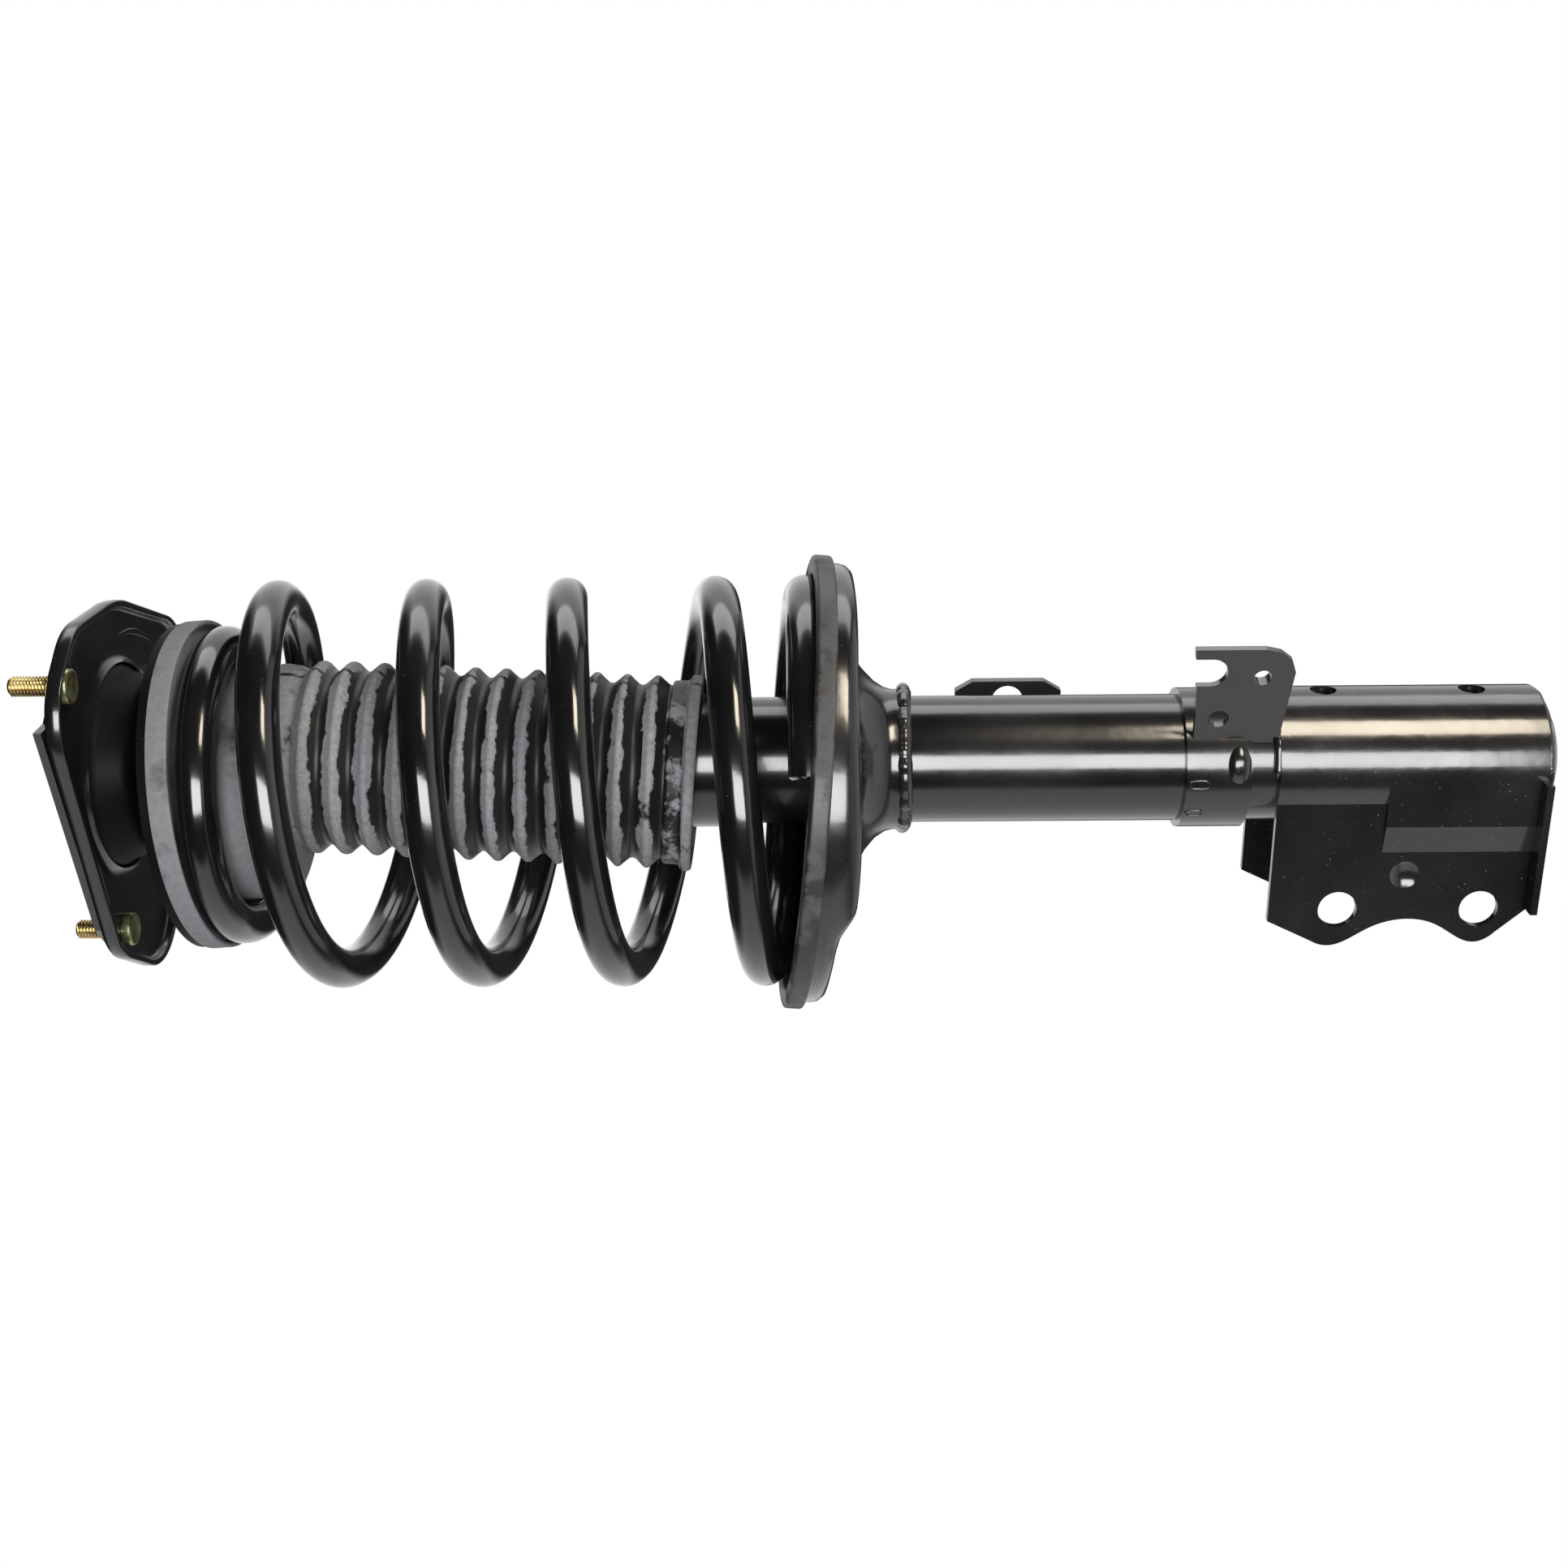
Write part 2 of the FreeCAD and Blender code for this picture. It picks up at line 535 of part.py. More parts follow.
def lower_insulator():
    """The rubber ring under the last turn, with a lip that wraps the pan's rim."""
    outer = size("pan_lip")
    pan = size("pan_radius")
    floor = -size("pan_floor")
    inside = pan - size("pan_sheet") - 0.1
    wrapped = inside - 1.9
    lip_top = size("pad_lip_top")
    pad = solid_cylinder(inside, floor, -size("pad_top"), PAN_FRAME)
    pad = pad.cut(solid_cylinder(size("pad_inner"), floor - 1, 5.0, PAN_FRAME))
    lip = solid_cylinder(outer, 1.0, lip_top, PAN_FRAME)
    lip = lip.cut(solid_cylinder(pan + 0.05, -1.0, size("pan_wall_top") + 0.05, PAN_FRAME))
    lip = lip.cut(solid_cylinder(wrapped, 0.0, 20.0, PAN_FRAME))
    wall = solid_cylinder(inside, floor, lip_top - 0.1, PAN_FRAME)
    wall = wall.cut(solid_cylinder(wrapped, floor - 1, 20.0, PAN_FRAME))
    return drawn("lower_insulator", pad.fuse([lip, wall]).removeSplitter())


lower_spring_seat()
lower_insulator()
turned("seat_weld", [
    ("tube_radius", "0 - neck_end - 3.5"), ("tube_radius + 2.6", "0 - neck_end - 2.6"),
    ("weld_radius - 0.4", "0 - neck_end"), ("weld_radius", "2 - neck_end"),
    ("tube_radius + pan_sheet", "5 - neck_end"), ("tube_radius + pan_sheet", "0 - neck_end"),
    ("tube_radius", "0 - neck_end")])


def link_tab():
    """The stabilizer link's ear, welded tangent to the back of the tube."""
    near = -size("tube_radius")
    thick = size("link_sheet")
    reach = -size("link_reach")
    top = -size("link_top")
    end = -size("link_end")
    root = size("tab_root")
    along = size("tab_slope_along")
    up = size("tab_slope_up")
    outline = [(root, top), (reach + along, top), (reach, top - up), (reach, end + up),
               (reach + along, end), (root, end)]
    points = [Vector(x, near, level) for x, level in outline]
    tab = Part.Face(Part.makePolygon(points + points[:1])).extrude(Vector(0, -thick, 0))
    hole = Part.makeCylinder(size("link_hole_radius"), thick + 4.0,
                             Vector(-size("link_hole_x"), near + 2.0, -size("link_hole_level")),
                             Vector(0, -1, 0))
    return drawn("stabilizer_link_tab", tab.cut(hole))


def link_weld():
    """Weld fillets that fill the wedge between the tab and the tube."""
    near = -size("tube_radius")
    height = size("link_end - link_top") - 4.0
    level = -size("link_end") + 2.0
    tube = Part.makeCylinder(size("tube_radius"), height + 10.0, Vector(0, 0, level - 5.0), UP)
    beads = []
    for side in (-1.0, 1.0):
        block = prism([(side * 3.0, near), (side * 9.5, near), (side * 9.5, near + 2.2),
                       (side * 3.0, near + 2.2)], level, level + height)
        beads.append(block.cut(tube).removeSplitter())
    return drawn("link_tab_weld", Part.Compound(beads))


link_tab()
link_weld()


HOSE_ALONG = Vector(-math.cos(math.radians(18.0)), math.sin(math.radians(18.0)), 0)
HOSE_ACROSS = UP.cross(HOSE_ALONG)
HOSE_FOOT = Vector(-14.4, 22.2, 0)
# (distance out along the plate, height) of the plate's corners
HOSE_OUTLINE = [(0.0, -437.0), (20.0, -436.0), (44.7, -433.0), (44.7, -459.5), (43.2, -465.5),
                (39.5, -470.0), (34.0, -472.0), (0.0, -470.0)]
HOSE_NOTCH = (34.0, -440.0)
HOSE_THREAD = (31.5, -459.9)
HOSE_PIN = (11.9, -445.4)


def hose_point(spot, back=0.0):
    """A point of the hose plate's near face, or some way in front of it."""
    reach, level = spot
    return HOSE_FOOT + HOSE_ALONG * reach - HOSE_ACROSS * back + UP * level


def hose_hole(spot, radius):
    return Part.makeCylinder(radius, 20.0, hose_point(spot, 5.0), HOSE_ACROSS)


def hose_plate():
    """A flat plate on the band that carries the brake hose and a sensor lead."""
    sheet = size("hose_sheet")
    notch = size("hose_notch_radius")
    corners = [hose_point(corner) for corner in HOSE_OUTLINE]
    plate = Part.Face(Part.makePolygon(corners + corners[:1])).extrude(HOSE_ACROSS * sheet)
    reach, level = HOSE_NOTCH
    mouth = [hose_point((reach + side * notch, level + rise), 5.0)
             for side, rise in ((-1, 0), (1, 0), (1, 15), (-1, 15))]
    plate = plate.cut(hose_hole(HOSE_NOTCH, notch))
    plate = plate.cut(Part.Face(Part.makePolygon(mouth + mouth[:1])).extrude(HOSE_ACROSS * 20.0))
    thread = size("hose_thread_radius")
    boss = Part.makeCylinder(thread + 1.8, sheet + 2.4, hose_point(HOSE_THREAD), HOSE_ACROSS)
    plate = plate.fuse(boss).cut(hose_hole(HOSE_THREAD, thread))
    plate = plate.cut(hose_hole(HOSE_PIN, size("hose_hole_radius")))
    plate = plate.cut(solid_cylinder(size("tube_radius"), -500.0, -410.0))
    plate = plate.cut(solid_cylinder(size("hose_band_radius"), -size("hose_band_end"), -410.0))
    plate = plate.cut(solid_cylinder(size("barrel_radius") + 0.2, -491.0, -468.0))
    return drawn("hose_plate", plate.removeSplitter())


ring("hose_band", "tube_radius", "hose_band_radius", "0 - hose_band_end", "0 - hose_band_top")
hose_plate()

EAR_OUTLINE = [(61.1, 471.0), (69.9, 488.9), (71.8, 498.0), (64.4, 511.8), (60.4, 525.8), (63.1, 539.0),
               (70.6, 552.3), (66.3, 562.9), (55.0, 575.4)]


def knuckle_bracket():
    """A pressed clamp: wraps the tube's inboard side and runs out as two ears with bolt holes."""
    sheet = size("bracket_sheet")
    radius = size("barrel_radius")
    face = size("ear_face")
    top = -size("bracket_top")
    end = -size("bracket_end")
    height = top - end
    tube = size("tube_radius")
    barrel = Part.makeCylinder(radius, height, Vector(0, 0, end), UP)
    root = size("ear_root")
    start = size("facet_start")
    foot = size("facet_foot")
    ears = Part.makeBox(90.0, 2 * face, height, Vector(root, -face, end))
    gap = Part.makeBox(95.0, 2 * (face - sheet), height + 2, Vector(root, sheet - face, end - 1))
    facet = []
    for side in (-1.0, 1.0):
        facet.append(prism([(0.0, side * (radius - sheet)), (0.0, side * radius), (start, side * radius),
                            (foot, side * face), (foot, side * (face - sheet))], end, -size("facet_end")))
    body = barrel.fuse([ears] + facet).cut(gap)
    body = body.cut(Part.makeCylinder(tube, height + 2, Vector(0, 0, end - 1), UP))
    curve = Part.BSplineCurve()
    spots = [Vector(x, -40, -level) for x, level in EAR_OUTLINE]
    curve.interpolate(spots[1:-1])
    edges = [Part.LineSegment(Vector(-40, -40, top), spots[0]).toShape(),
             Part.LineSegment(spots[0], spots[1]).toShape(), curve.toShape(),
             Part.LineSegment(spots[-2], spots[-1]).toShape(),
             Part.LineSegment(spots[-1], Vector(-40, -40, end)).toShape(),
             Part.LineSegment(Vector(-40, -40, end), Vector(-40, -40, top)).toShape()]
    body = body.common(Part.Face(Part.Wire(edges)).extrude(Vector(0, 80, 0)))
    for side in (-1.0, 1.0):
        low = side * (face - sheet)
        lip = Part.makeBox(55.0, size("flange_height") + sheet, sheet,
                           Vector(0.0, min(low, low + side * (size("flange_height") + sheet)), end))
        lip = lip.cut(Part.makeCylinder(tube, 20.0, Vector(0, 0, end - 10), UP))
        body = body.fuse(lip)
    for level in (size("bolt_upper"), size("bolt_lower")):
        body = body.cut(Part.makeCylinder(size("bolt_radius"), 80.0, Vector(size("bolt_x"), -40, -level),
                                          Vector(0, 1, 0)))
    for level in (size("drain_upper"), size("drain_lower")):
        body = body.cut(Part.makeCylinder(size("drain_radius"), 30.0, Vector(-20, 0, -level),
                                          Vector(-1, 0, 0)))
    spot = Vector(size("dimple_x"), 0, -size("dimple_level"))
    dimple = size("dimple_radius")
    depth = size("dimple_depth")
    globe = (dimple ** 2 + depth ** 2) / (2.0 * depth)
    for side in (-1.0, 1.0):
        ball = Part.makeSphere(globe, spot + Vector(0, side * (face + globe - depth), 0))
        body = body.cut(ball)
    return drawn("knuckle_bracket", body.removeSplitter())


knuckle_bracket()


def bracket_weld():
    """Weld runs that join the bracket's upper and lower edges to the tube."""
    tube = size("tube_radius")
    sheet = size("bracket_sheet")
    beads = []
    run = size("weld_run")
    for level, away in ((-size("bracket_top"), 1.0), (-size("bracket_end"), -1.0)):
        points = [Vector(tube, 0, level), Vector(tube + sheet - 0.3, 0, level),
                  Vector(tube, 0, level + away * run)]
        face = Part.Face(Part.makePolygon(points + points[:1]))
        bead = face.revolve(Vector(), UP, size("weld_sweep"))
        bead.rotate(Vector(), UP, size("weld_start"))
        beads.append(bead)
    return drawn("bracket_weld", Part.Compound(beads))


bracket_weld()

# ---------------------------------------------------------------- check and write
doc.recompute()
faults = [item.Name for item in doc.Objects if "Invalid" in item.State or "Error" in item.State]
for item in PARTS:
    if item.Shape.isNull() or not item.Shape.isValid() or not item.Shape.Solids:
        faults.append(item.Label + " shape")
if faults:
    raise RuntimeError("failed: " + ", ".join(faults))
os.makedirs("parts", exist_ok=True)
for item in PARTS:
    item.Shape.exportStep("parts/%s.step" % item.Label)
    box = item.Shape.BoundBox
    print("%-22s solids %2d volume %9.0f  x %6.1f..%6.1f  y %6.1f..%6.1f  z %6.1f..%6.1f" % (
        item.Label, len(item.Shape.Solids), item.Shape.Volume, box.XMin, box.XMax, box.YMin, box.YMax,
        box.ZMin, box.ZMax))
print(len(PARTS), "parts")
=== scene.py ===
import json
import math
import random

import bmesh
import bpy
from mathutils import Matrix, Vector, noise


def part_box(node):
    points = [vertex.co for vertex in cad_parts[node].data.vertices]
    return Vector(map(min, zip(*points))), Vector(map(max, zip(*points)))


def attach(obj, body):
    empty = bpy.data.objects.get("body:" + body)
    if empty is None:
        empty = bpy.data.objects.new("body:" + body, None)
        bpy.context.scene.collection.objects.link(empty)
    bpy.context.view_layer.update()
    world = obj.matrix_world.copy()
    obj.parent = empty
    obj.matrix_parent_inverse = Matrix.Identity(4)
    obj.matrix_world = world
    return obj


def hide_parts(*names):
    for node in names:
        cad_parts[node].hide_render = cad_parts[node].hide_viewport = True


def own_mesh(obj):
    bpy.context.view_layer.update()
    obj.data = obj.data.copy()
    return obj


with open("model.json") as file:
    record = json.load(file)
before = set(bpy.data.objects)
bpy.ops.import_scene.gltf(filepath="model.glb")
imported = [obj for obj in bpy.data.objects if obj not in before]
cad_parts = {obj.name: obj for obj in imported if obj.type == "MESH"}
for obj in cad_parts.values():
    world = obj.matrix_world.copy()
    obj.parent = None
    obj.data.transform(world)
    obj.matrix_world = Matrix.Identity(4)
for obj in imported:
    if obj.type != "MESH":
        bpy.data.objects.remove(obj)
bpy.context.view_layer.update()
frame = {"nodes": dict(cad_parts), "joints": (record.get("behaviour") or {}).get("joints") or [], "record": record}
random.seed(7)
MM = 0.001
UP = Vector((0, 0, 1))

# ------------------------------------------------------------------ places, in millimetres
VIEW_TURN = 22.0                      # how far the camera stands round from +Y, in degrees
SEAT_CENTRE = Vector((9.0, 0, -41.0))
SEAT_TILT = 4.0
PAN_CENTRE = Vector((10.0, 0, -290.2))
PAN_TILT = 5.8
PAN_DOWNHILL = 45.0
TUBE_RADIUS = 25.5
BRACKET_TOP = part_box("knuckle_bracket")[1][2] / MM
BRACKET_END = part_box("knuckle_bracket")[0][2] / MM


def around(angle, radius, level=0.0):
    """A point on a circle about Z; the angle is counted from the camera's side, towards inboard."""
    turn = math.radians(angle + 90.0 + VIEW_TURN)
    return Vector((radius * math.cos(turn), radius * math.sin(turn), level))


TO_VIEWER = around(0.0, 1.0)
PICTURE_UP = around(90.0, 1.0)
SEAT_FRAME = Matrix.Translation(SEAT_CENTRE) @ Matrix.Rotation(math.radians(SEAT_TILT), 4, "Y")
PAN_AXIS = UP.cross(around(PAN_DOWNHILL, 1.0))
PAN_FRAME = Matrix.Translation(PAN_CENTRE) @ Matrix.Rotation(math.radians(PAN_TILT), 4, PAN_AXIS)


# ------------------------------------------------------------------ mesh helpers
def mesh_piece(name, points, faces, body, material, sharp=40.0):
    """A mesh object from points in millimetres, smooth but for edges sharper than an angle."""
    mesh = bpy.data.meshes.new(name)
    mesh.from_pydata([Vector(point) * MM for point in points], [], faces)
    mesh.validate()
    build = bmesh.new()
    build.from_mesh(mesh)
    bmesh.ops.remove_doubles(build, verts=build.verts, dist=1e-6)
    bmesh.ops.recalc_face_normals(build, faces=build.faces)
    for face in build.faces:
        face.smooth = True
    for edge in build.edges:
        edge.smooth = len(edge.link_faces) == 2 and edge.calc_face_angle(0.0) < math.radians(sharp)
    build.to_mesh(mesh)
    build.free()
    piece = bpy.data.objects.new(name, mesh)
    bpy.context.scene.collection.objects.link(piece)
    mesh.materials.append(material)
    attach(piece, body)
    return piece


def skin(rings, closed=False):
    """Faces between neighbouring rings of equal length; closed joins the last ring to the first."""
    around_count = len(rings[0])
    points = [point for ring in rings for point in ring]
    faces = []
    last = len(rings) if closed else len(rings) - 1
    for row in range(last):
        here = row * around_count
        there = ((row + 1) % len(rings)) * around_count
        for step in range(around_count):
            after = (step + 1) % around_count
            faces.append((here + step, here + after, there + after, there + step))
    return points, faces


def rounded(corners, radius, steps=4):
    """A polyline with each inner corner rounded; a corner may carry its own radius third."""
    spots = [Vector(corner[:2]) for corner in corners]
    path = [spots[0]]
    for number in range(1, len(spots) - 1):
        own = corners[number][2] if len(corners[number]) > 2 else radius
        before = spots[number - 1] - spots[number]
        after = spots[number + 1] - spots[number]
        reach = min(own, before.length * 0.45, after.length * 0.45)
        start = spots[number] + before.normalized() * reach
        end = spots[number] + after.normalized() * reach
        for step in range(steps + 1):
            part = step / steps
            path.append(start.lerp(spots[number], part).lerp(spots[number].lerp(end, part), part))
    path.append(spots[-1])
    return path


def closed_rounded(corners, radius, steps=4):
    """The same for a closed section."""
    first = Vector(corners[0][:2])
    second = Vector(corners[1][:2])
    middle = tuple(first.lerp(second, 0.5))
    return rounded([middle] + list(corners[1:]) + [corners[0], middle], radius, steps)[:-1]


def turned(name, section, body, material, place=Matrix(), count=128, wobble=None, sharp=40.0):
    """A closed section of (radius, height) turned about a frame's own axis."""
    rings = []
    for number in range(count):
        turn = 2 * math.pi * number / count
        ring = []
        for radius, height in section:
            point = Vector((radius * math.cos(turn), radius * math.sin(turn), height))
            if wobble:
                point = wobble(point, turn, radius)
            ring.append(place @ point)
        rings.append(ring)
    points, faces = skin(rings, closed=True)
    return mesh_piece(name, points, faces, body, material, sharp)


# ------------------------------------------------------------------ node helpers
def material_base(name):
    material = bpy.data.materials.new(name)
    material.use_nodes = True
    nodes = material.node_tree.nodes
    return material, nodes, material.node_tree.links, nodes["Principled BSDF"]


def noise_node(nodes, links, source, scale, detail=4.0, roughness=0.55):
    node = nodes.new("ShaderNodeTexNoise")
    node.inputs["Scale"].default_value = scale
    node.inputs["Detail"].default_value = detail
    node.inputs["Roughness"].default_value = roughness
    links.new(source, node.inputs["Vector"])
    return node


def ramp_node(nodes, links, source, stops):
    """A colour ramp; stops are (position, colour or grey)."""
    node = nodes.new("ShaderNodeValToRGB")
    ramp = node.color_ramp
    while len(ramp.elements) < len(stops):
        ramp.elements.new(0.5)
    for element, (position, colour) in zip(ramp.elements, stops):
        element.position = position
        grey = (colour, colour, colour) if isinstance(colour, float) else colour
        element.color = (*grey, 1.0)
    links.new(source, node.inputs["Fac"])
    return node


def stretched(nodes, links, source, scale):
    """Object coordinates scaled unevenly, for brushed or drawn marks."""
    node = nodes.new("ShaderNodeMapping")
    node.inputs["Scale"].default_value = scale
    links.new(source, node.inputs["Vector"])
    return node.outputs["Vector"]


def bump_node(nodes, links, height, strength, distance, below=None):
    node = nodes.new("ShaderNodeBump")
    node.inputs["Strength"].default_value = strength
    node.inputs["Distance"].default_value = distance
    links.new(height, node.inputs["Height"])
    if below is not None:
        links.new(below, node.inputs["Normal"])
    return node.outputs["Normal"]


def mixed(nodes, links, factor, low, high):
    """A colour mix; low and high are colours or sockets."""
    node = nodes.new("ShaderNodeMix")
    node.data_type = "RGBA"
    links.new(factor, node.inputs["Factor"])
    for socket, value in ((node.inputs["A"], low), (node.inputs["B"], high)):
        if isinstance(value, tuple):
            socket.default_value = (*value, 1.0)
        else:
            links.new(value, socket)
    return node.outputs["Result"]


def gloss_paint(name, base, rough, peel=0.25, dust=0.5, tint=(0.10, 0.10, 0.095)):
    """Black electro-coat: orange peel, a few dust specks, faint smears and fine scratches."""
    material, nodes, links, shader = material_base(name)
    place = nodes.new("ShaderNodeTexCoord").outputs["Object"]
    smear = noise_node(nodes, links, place, 22.0, 5.0)
    specks = noise_node(nodes, links, place, 900.0, 2.0, 0.7)
    speck_mask = ramp_node(nodes, links, specks.outputs["Fac"], [(0.735 - 0.03 * dust, 0.0), (0.78, 1.0)])
    faded = tuple(part * 1.7 for part in base)
    clouds = ramp_node(nodes, links, smear.outputs["Fac"], [(0.35, base), (0.75, faded)])
    colour = mixed(nodes, links, speck_mask.outputs["Color"], clouds.outputs["Color"], tint)
    links.new(colour, shader.inputs["Base Color"])
    sheen = ramp_node(nodes, links, smear.outputs["Fac"], [(0.3, rough), (0.7, rough + 0.10)])
    links.new(sheen.outputs["Color"], shader.inputs["Roughness"])
    fine = noise_node(nodes, links, place, 420.0, 2.0)
    broad = noise_node(nodes, links, place, 70.0, 2.0)
    scratch = noise_node(nodes, links, stretched(nodes, links, place, (900.0, 900.0, 25.0)), 1.0, 2.0)
    first = bump_node(nodes, links, broad.outputs["Fac"], peel, 0.0006)
    second = bump_node(nodes, links, fine.outputs["Fac"], peel * 0.6, 0.00012, first)
    third = bump_node(nodes, links, scratch.outputs["Fac"], 0.06, 0.00008, second)
    links.new(third, shader.inputs["Normal"])
    shader.inputs["Coat Weight"].default_value = 0.35
    shader.inputs["Coat Roughness"].default_value = 0.08
    return material


def rubber(name, dark, pale, amount, scale=55.0, rough=0.62):
    """Moulded rubber with a chalky bloom in patches, rubbed bare elsewhere."""
    material, nodes, links, shader = material_base(name)
    place = nodes.new("ShaderNodeTexCoord").outputs["Object"]
    patches = noise_node(nodes, links, place, scale, 7.0, 0.66)
    mask = ramp_node(nodes, links, patches.outputs["Fac"],
                     [(0.60 - amount * 0.35, 0.0), (0.66 - amount * 0.22, 1.0)])
    grain = noise_node(nodes, links, place, 420.0, 6.0, 0.7)
    shade = ramp_node(nodes, links, grain.outputs["Fac"], [(0.3, tuple(c * 0.72 for c in pale)), (0.7, pale)])
    colour = mixed(nodes, links, mask.outputs["Color"], dark, shade.outputs["Color"])
    links.new(colour, shader.inputs["Base Color"])
    dull = ramp_node(nodes, links, mask.outputs["Color"], [(0.0, rough - 0.17), (1.0, rough + 0.15)])
    links.new(dull.outputs["Color"], shader.inputs["Roughness"])
    links.new(bump_node(nodes, links, grain.outputs["Fac"], 0.3, 0.0003), shader.inputs["Normal"])
    return material


def metal(name, low, high, rough, scale=60.0, brushed=(1.0, 1.0, 1.0)):
    """Bare or plated metal with tone patches and fine machining marks."""
    material, nodes, links, shader = material_base(name)
    place = nodes.new("ShaderNodeTexCoord").outputs["Object"]
    patches = noise_node(nodes, links, place, scale, 5.0)
    tone = ramp_node(nodes, links, patches.outputs["Fac"], [(0.35, low), (0.65, high)])
    links.new(tone.outputs["Color"], shader.inputs["Base Color"])
    marks = noise_node(nodes, links, stretched(nodes, links, place, brushed), 500.0, 3.0)
    gloss = ramp_node(nodes, links, marks.outputs["Fac"], [(0.3, rough), (0.7, rough + 0.14)])
    links.new(gloss.outputs["Color"], shader.inputs["Roughness"])
    links.new(bump_node(nodes, links, marks.outputs["Fac"], 0.15, 0.0001), shader.inputs["Normal"])
    shader.inputs["Metallic"].default_value = 1.0
    return material


CHALK_DULL = (0.12, 0.123, 0.13)
CHALK_PALE = (0.225, 0.23, 0.24)
BARE_RUBBER = (0.005, 0.005, 0.006)


def boot_rubber():
    """The boot's rubber: chalk on each pleat's upper flank and crest, bare black between."""
    material, nodes, links, shader = material_base("boot_rubber")
    place = nodes.new("ShaderNodeTexCoord").outputs["Object"]
    bloom = nodes.new("ShaderNodeAttribute")
    bloom.attribute_name = "bloom"
    patches = noise_node(nodes, links, place, 75.0, 7.0, 0.68)
    add = nodes.new("ShaderNodeMath")
    add.operation = "ADD"
    links.new(bloom.outputs["Fac"], add.inputs[0])
    links.new(patches.outputs["Fac"], add.inputs[1])
    mask = ramp_node(nodes, links, add.outputs["Value"], [(0.62, 0.0), (0.70, 1.0)])
    grain = noise_node(nodes, links, place, 500.0, 6.0, 0.7)
    shade = ramp_node(nodes, links, grain.outputs["Fac"], [(0.3, CHALK_DULL), (0.72, CHALK_PALE)])
    colour = mixed(nodes, links, mask.outputs["Color"], BARE_RUBBER, shade.outputs["Color"])
    shader.inputs["Specular IOR Level"].default_value = 0.3
    links.new(colour, shader.inputs["Base Color"])
    dull = ramp_node(nodes, links, mask.outputs["Color"], [(0.0, 0.42), (1.0, 0.8)])
    links.new(dull.outputs["Color"], shader.inputs["Roughness"])
    links.new(bump_node(nodes, links, grain.outputs["Fac"], 0.3, 0.0003), shader.inputs["Normal"])
    return material


E_COAT = gloss_paint("black_ecoat", (0.005, 0.005, 0.0055), 0.16)
SPRING_PAINT = gloss_paint("spring_paint", (0.004, 0.004, 0.0045), 0.12, peel=0.18, dust=0.3)
BRACKET_PAINT = gloss_paint("bracket_paint", (0.006, 0.006, 0.006), 0.13, peel=0.32, dust=1.0,
                            tint=(0.22, 0.19, 0.15))
WELD_PAINT = gloss_paint("weld_bead", (0.007, 0.007, 0.007), 0.2, peel=0.9, dust=0.6,
                         tint=(0.12, 0.09, 0.06))
DULL_COAT = gloss_paint("dull_ecoat", (0.003, 0.003, 0.0034), 0.42, peel=0.3, dust=0.3)
dull_shader = DULL_COAT.node_tree.nodes["Principled BSDF"]
dull_shader.inputs["Coat Weight"].default_value = 0.0
dull_shader.inputs["Specular IOR Level"].default_value = 0.05
BLOOMED = rubber("bloomed_rubber", (0.02, 0.02, 0.022), (0.155, 0.16, 0.17), 0.85, 38.0)
BOOT = boot_rubber()
DARK_RUBBER = rubber("black_rubber", (0.010, 0.010, 0.011), (0.045, 0.045, 0.048), 0.3)
ZINC = metal("yellow_zinc", (0.50, 0.30, 0.13), (0.62, 0.55, 0.28), 0.24, 160.0)
HEAD_ZINC = metal("olive_zinc", (0.27, 0.25, 0.11), (0.44, 0.46, 0.27), 0.34, 220.0)
CHROME = metal("chrome_rod", (0.55, 0.55, 0.57), (0.68, 0.68, 0.70), 0.06, brushed=(1.0, 1.0, 6.0))
BEARING = metal("bearing_steel", (0.42, 0.42, 0.44), (0.55, 0.55, 0.57), 0.18)
STEEL = metal("zinc_steel", (0.45, 0.46, 0.47), (0.62, 0.62, 0.61), 0.3)
SINTERED = metal("sintered_iron", (0.16, 0.16, 0.165), (0.27, 0.27, 0.28), 0.5, 300.0)
BRONZE = metal("bronze_bush", (0.42, 0.27, 0.13), (0.55, 0.38, 0.2), 0.3)
FOAM = rubber("foam", (0.50, 0.42, 0.22), (0.66, 0.58, 0.35), 0.6, 120.0, 0.7)

BY_SLOT = {
    "black_ecoat": E_COAT, "spring_paint": SPRING_PAINT, "bloomed_rubber": BLOOMED,
    "black_rubber": DARK_RUBBER, "yellow_zinc": ZINC, "chrome_rod": CHROME, "bearing_steel": BEARING,
    "sintered_iron": SINTERED, "zinc_steel": STEEL, "bronze_bush": BRONZE, "foam": FOAM,
    "weld_bead": WELD_PAINT,
}
BY_NODE = {"knuckle_bracket": BRACKET_PAINT, "upper_spring_seat": DULL_COAT}
SLOTS = {row["node"]: row["material_slot"] for row in frame["record"]["subparts"]}
for node, item in frame["nodes"].items():
    item.data.materials.clear()
    item.data.materials.append(BY_NODE.get(node, BY_SLOT[SLOTS[node]]))

# ------------------------------------------------------------------ coil spring
WIRE = 8.2
COIL_RADIUS = 74.9
PIGTAIL_RADIUS = 56.6
PIGTAIL_END = 0.72                    # the turn at which the small top coil begins to open
PIGTAIL_OPENING = 0.5                 # turns that it takes to reach the full radius
COIL_OFFSET = 9.0
COIL_LEVELS = [(0.0, -51.5), (0.25, -51.0), (0.5, -54.2), (0.75, -57.2), (1.25, -72.5), (1.75, -98.8),
               (2.25, -132.3), (2.75, -155.7), (3.25, -188.9), (3.75, -212.6), (4.25, -248.8),
               (4.75, -269.5), (5.0, -276.8), (5.25, -285.2), (5.5, -287.6)]
COIL_START = 0.12
COIL_END = COIL_LEVELS[-1][0]
SEATED_TURN = 4.75                    # from this turn on the wire rests in the lower pan
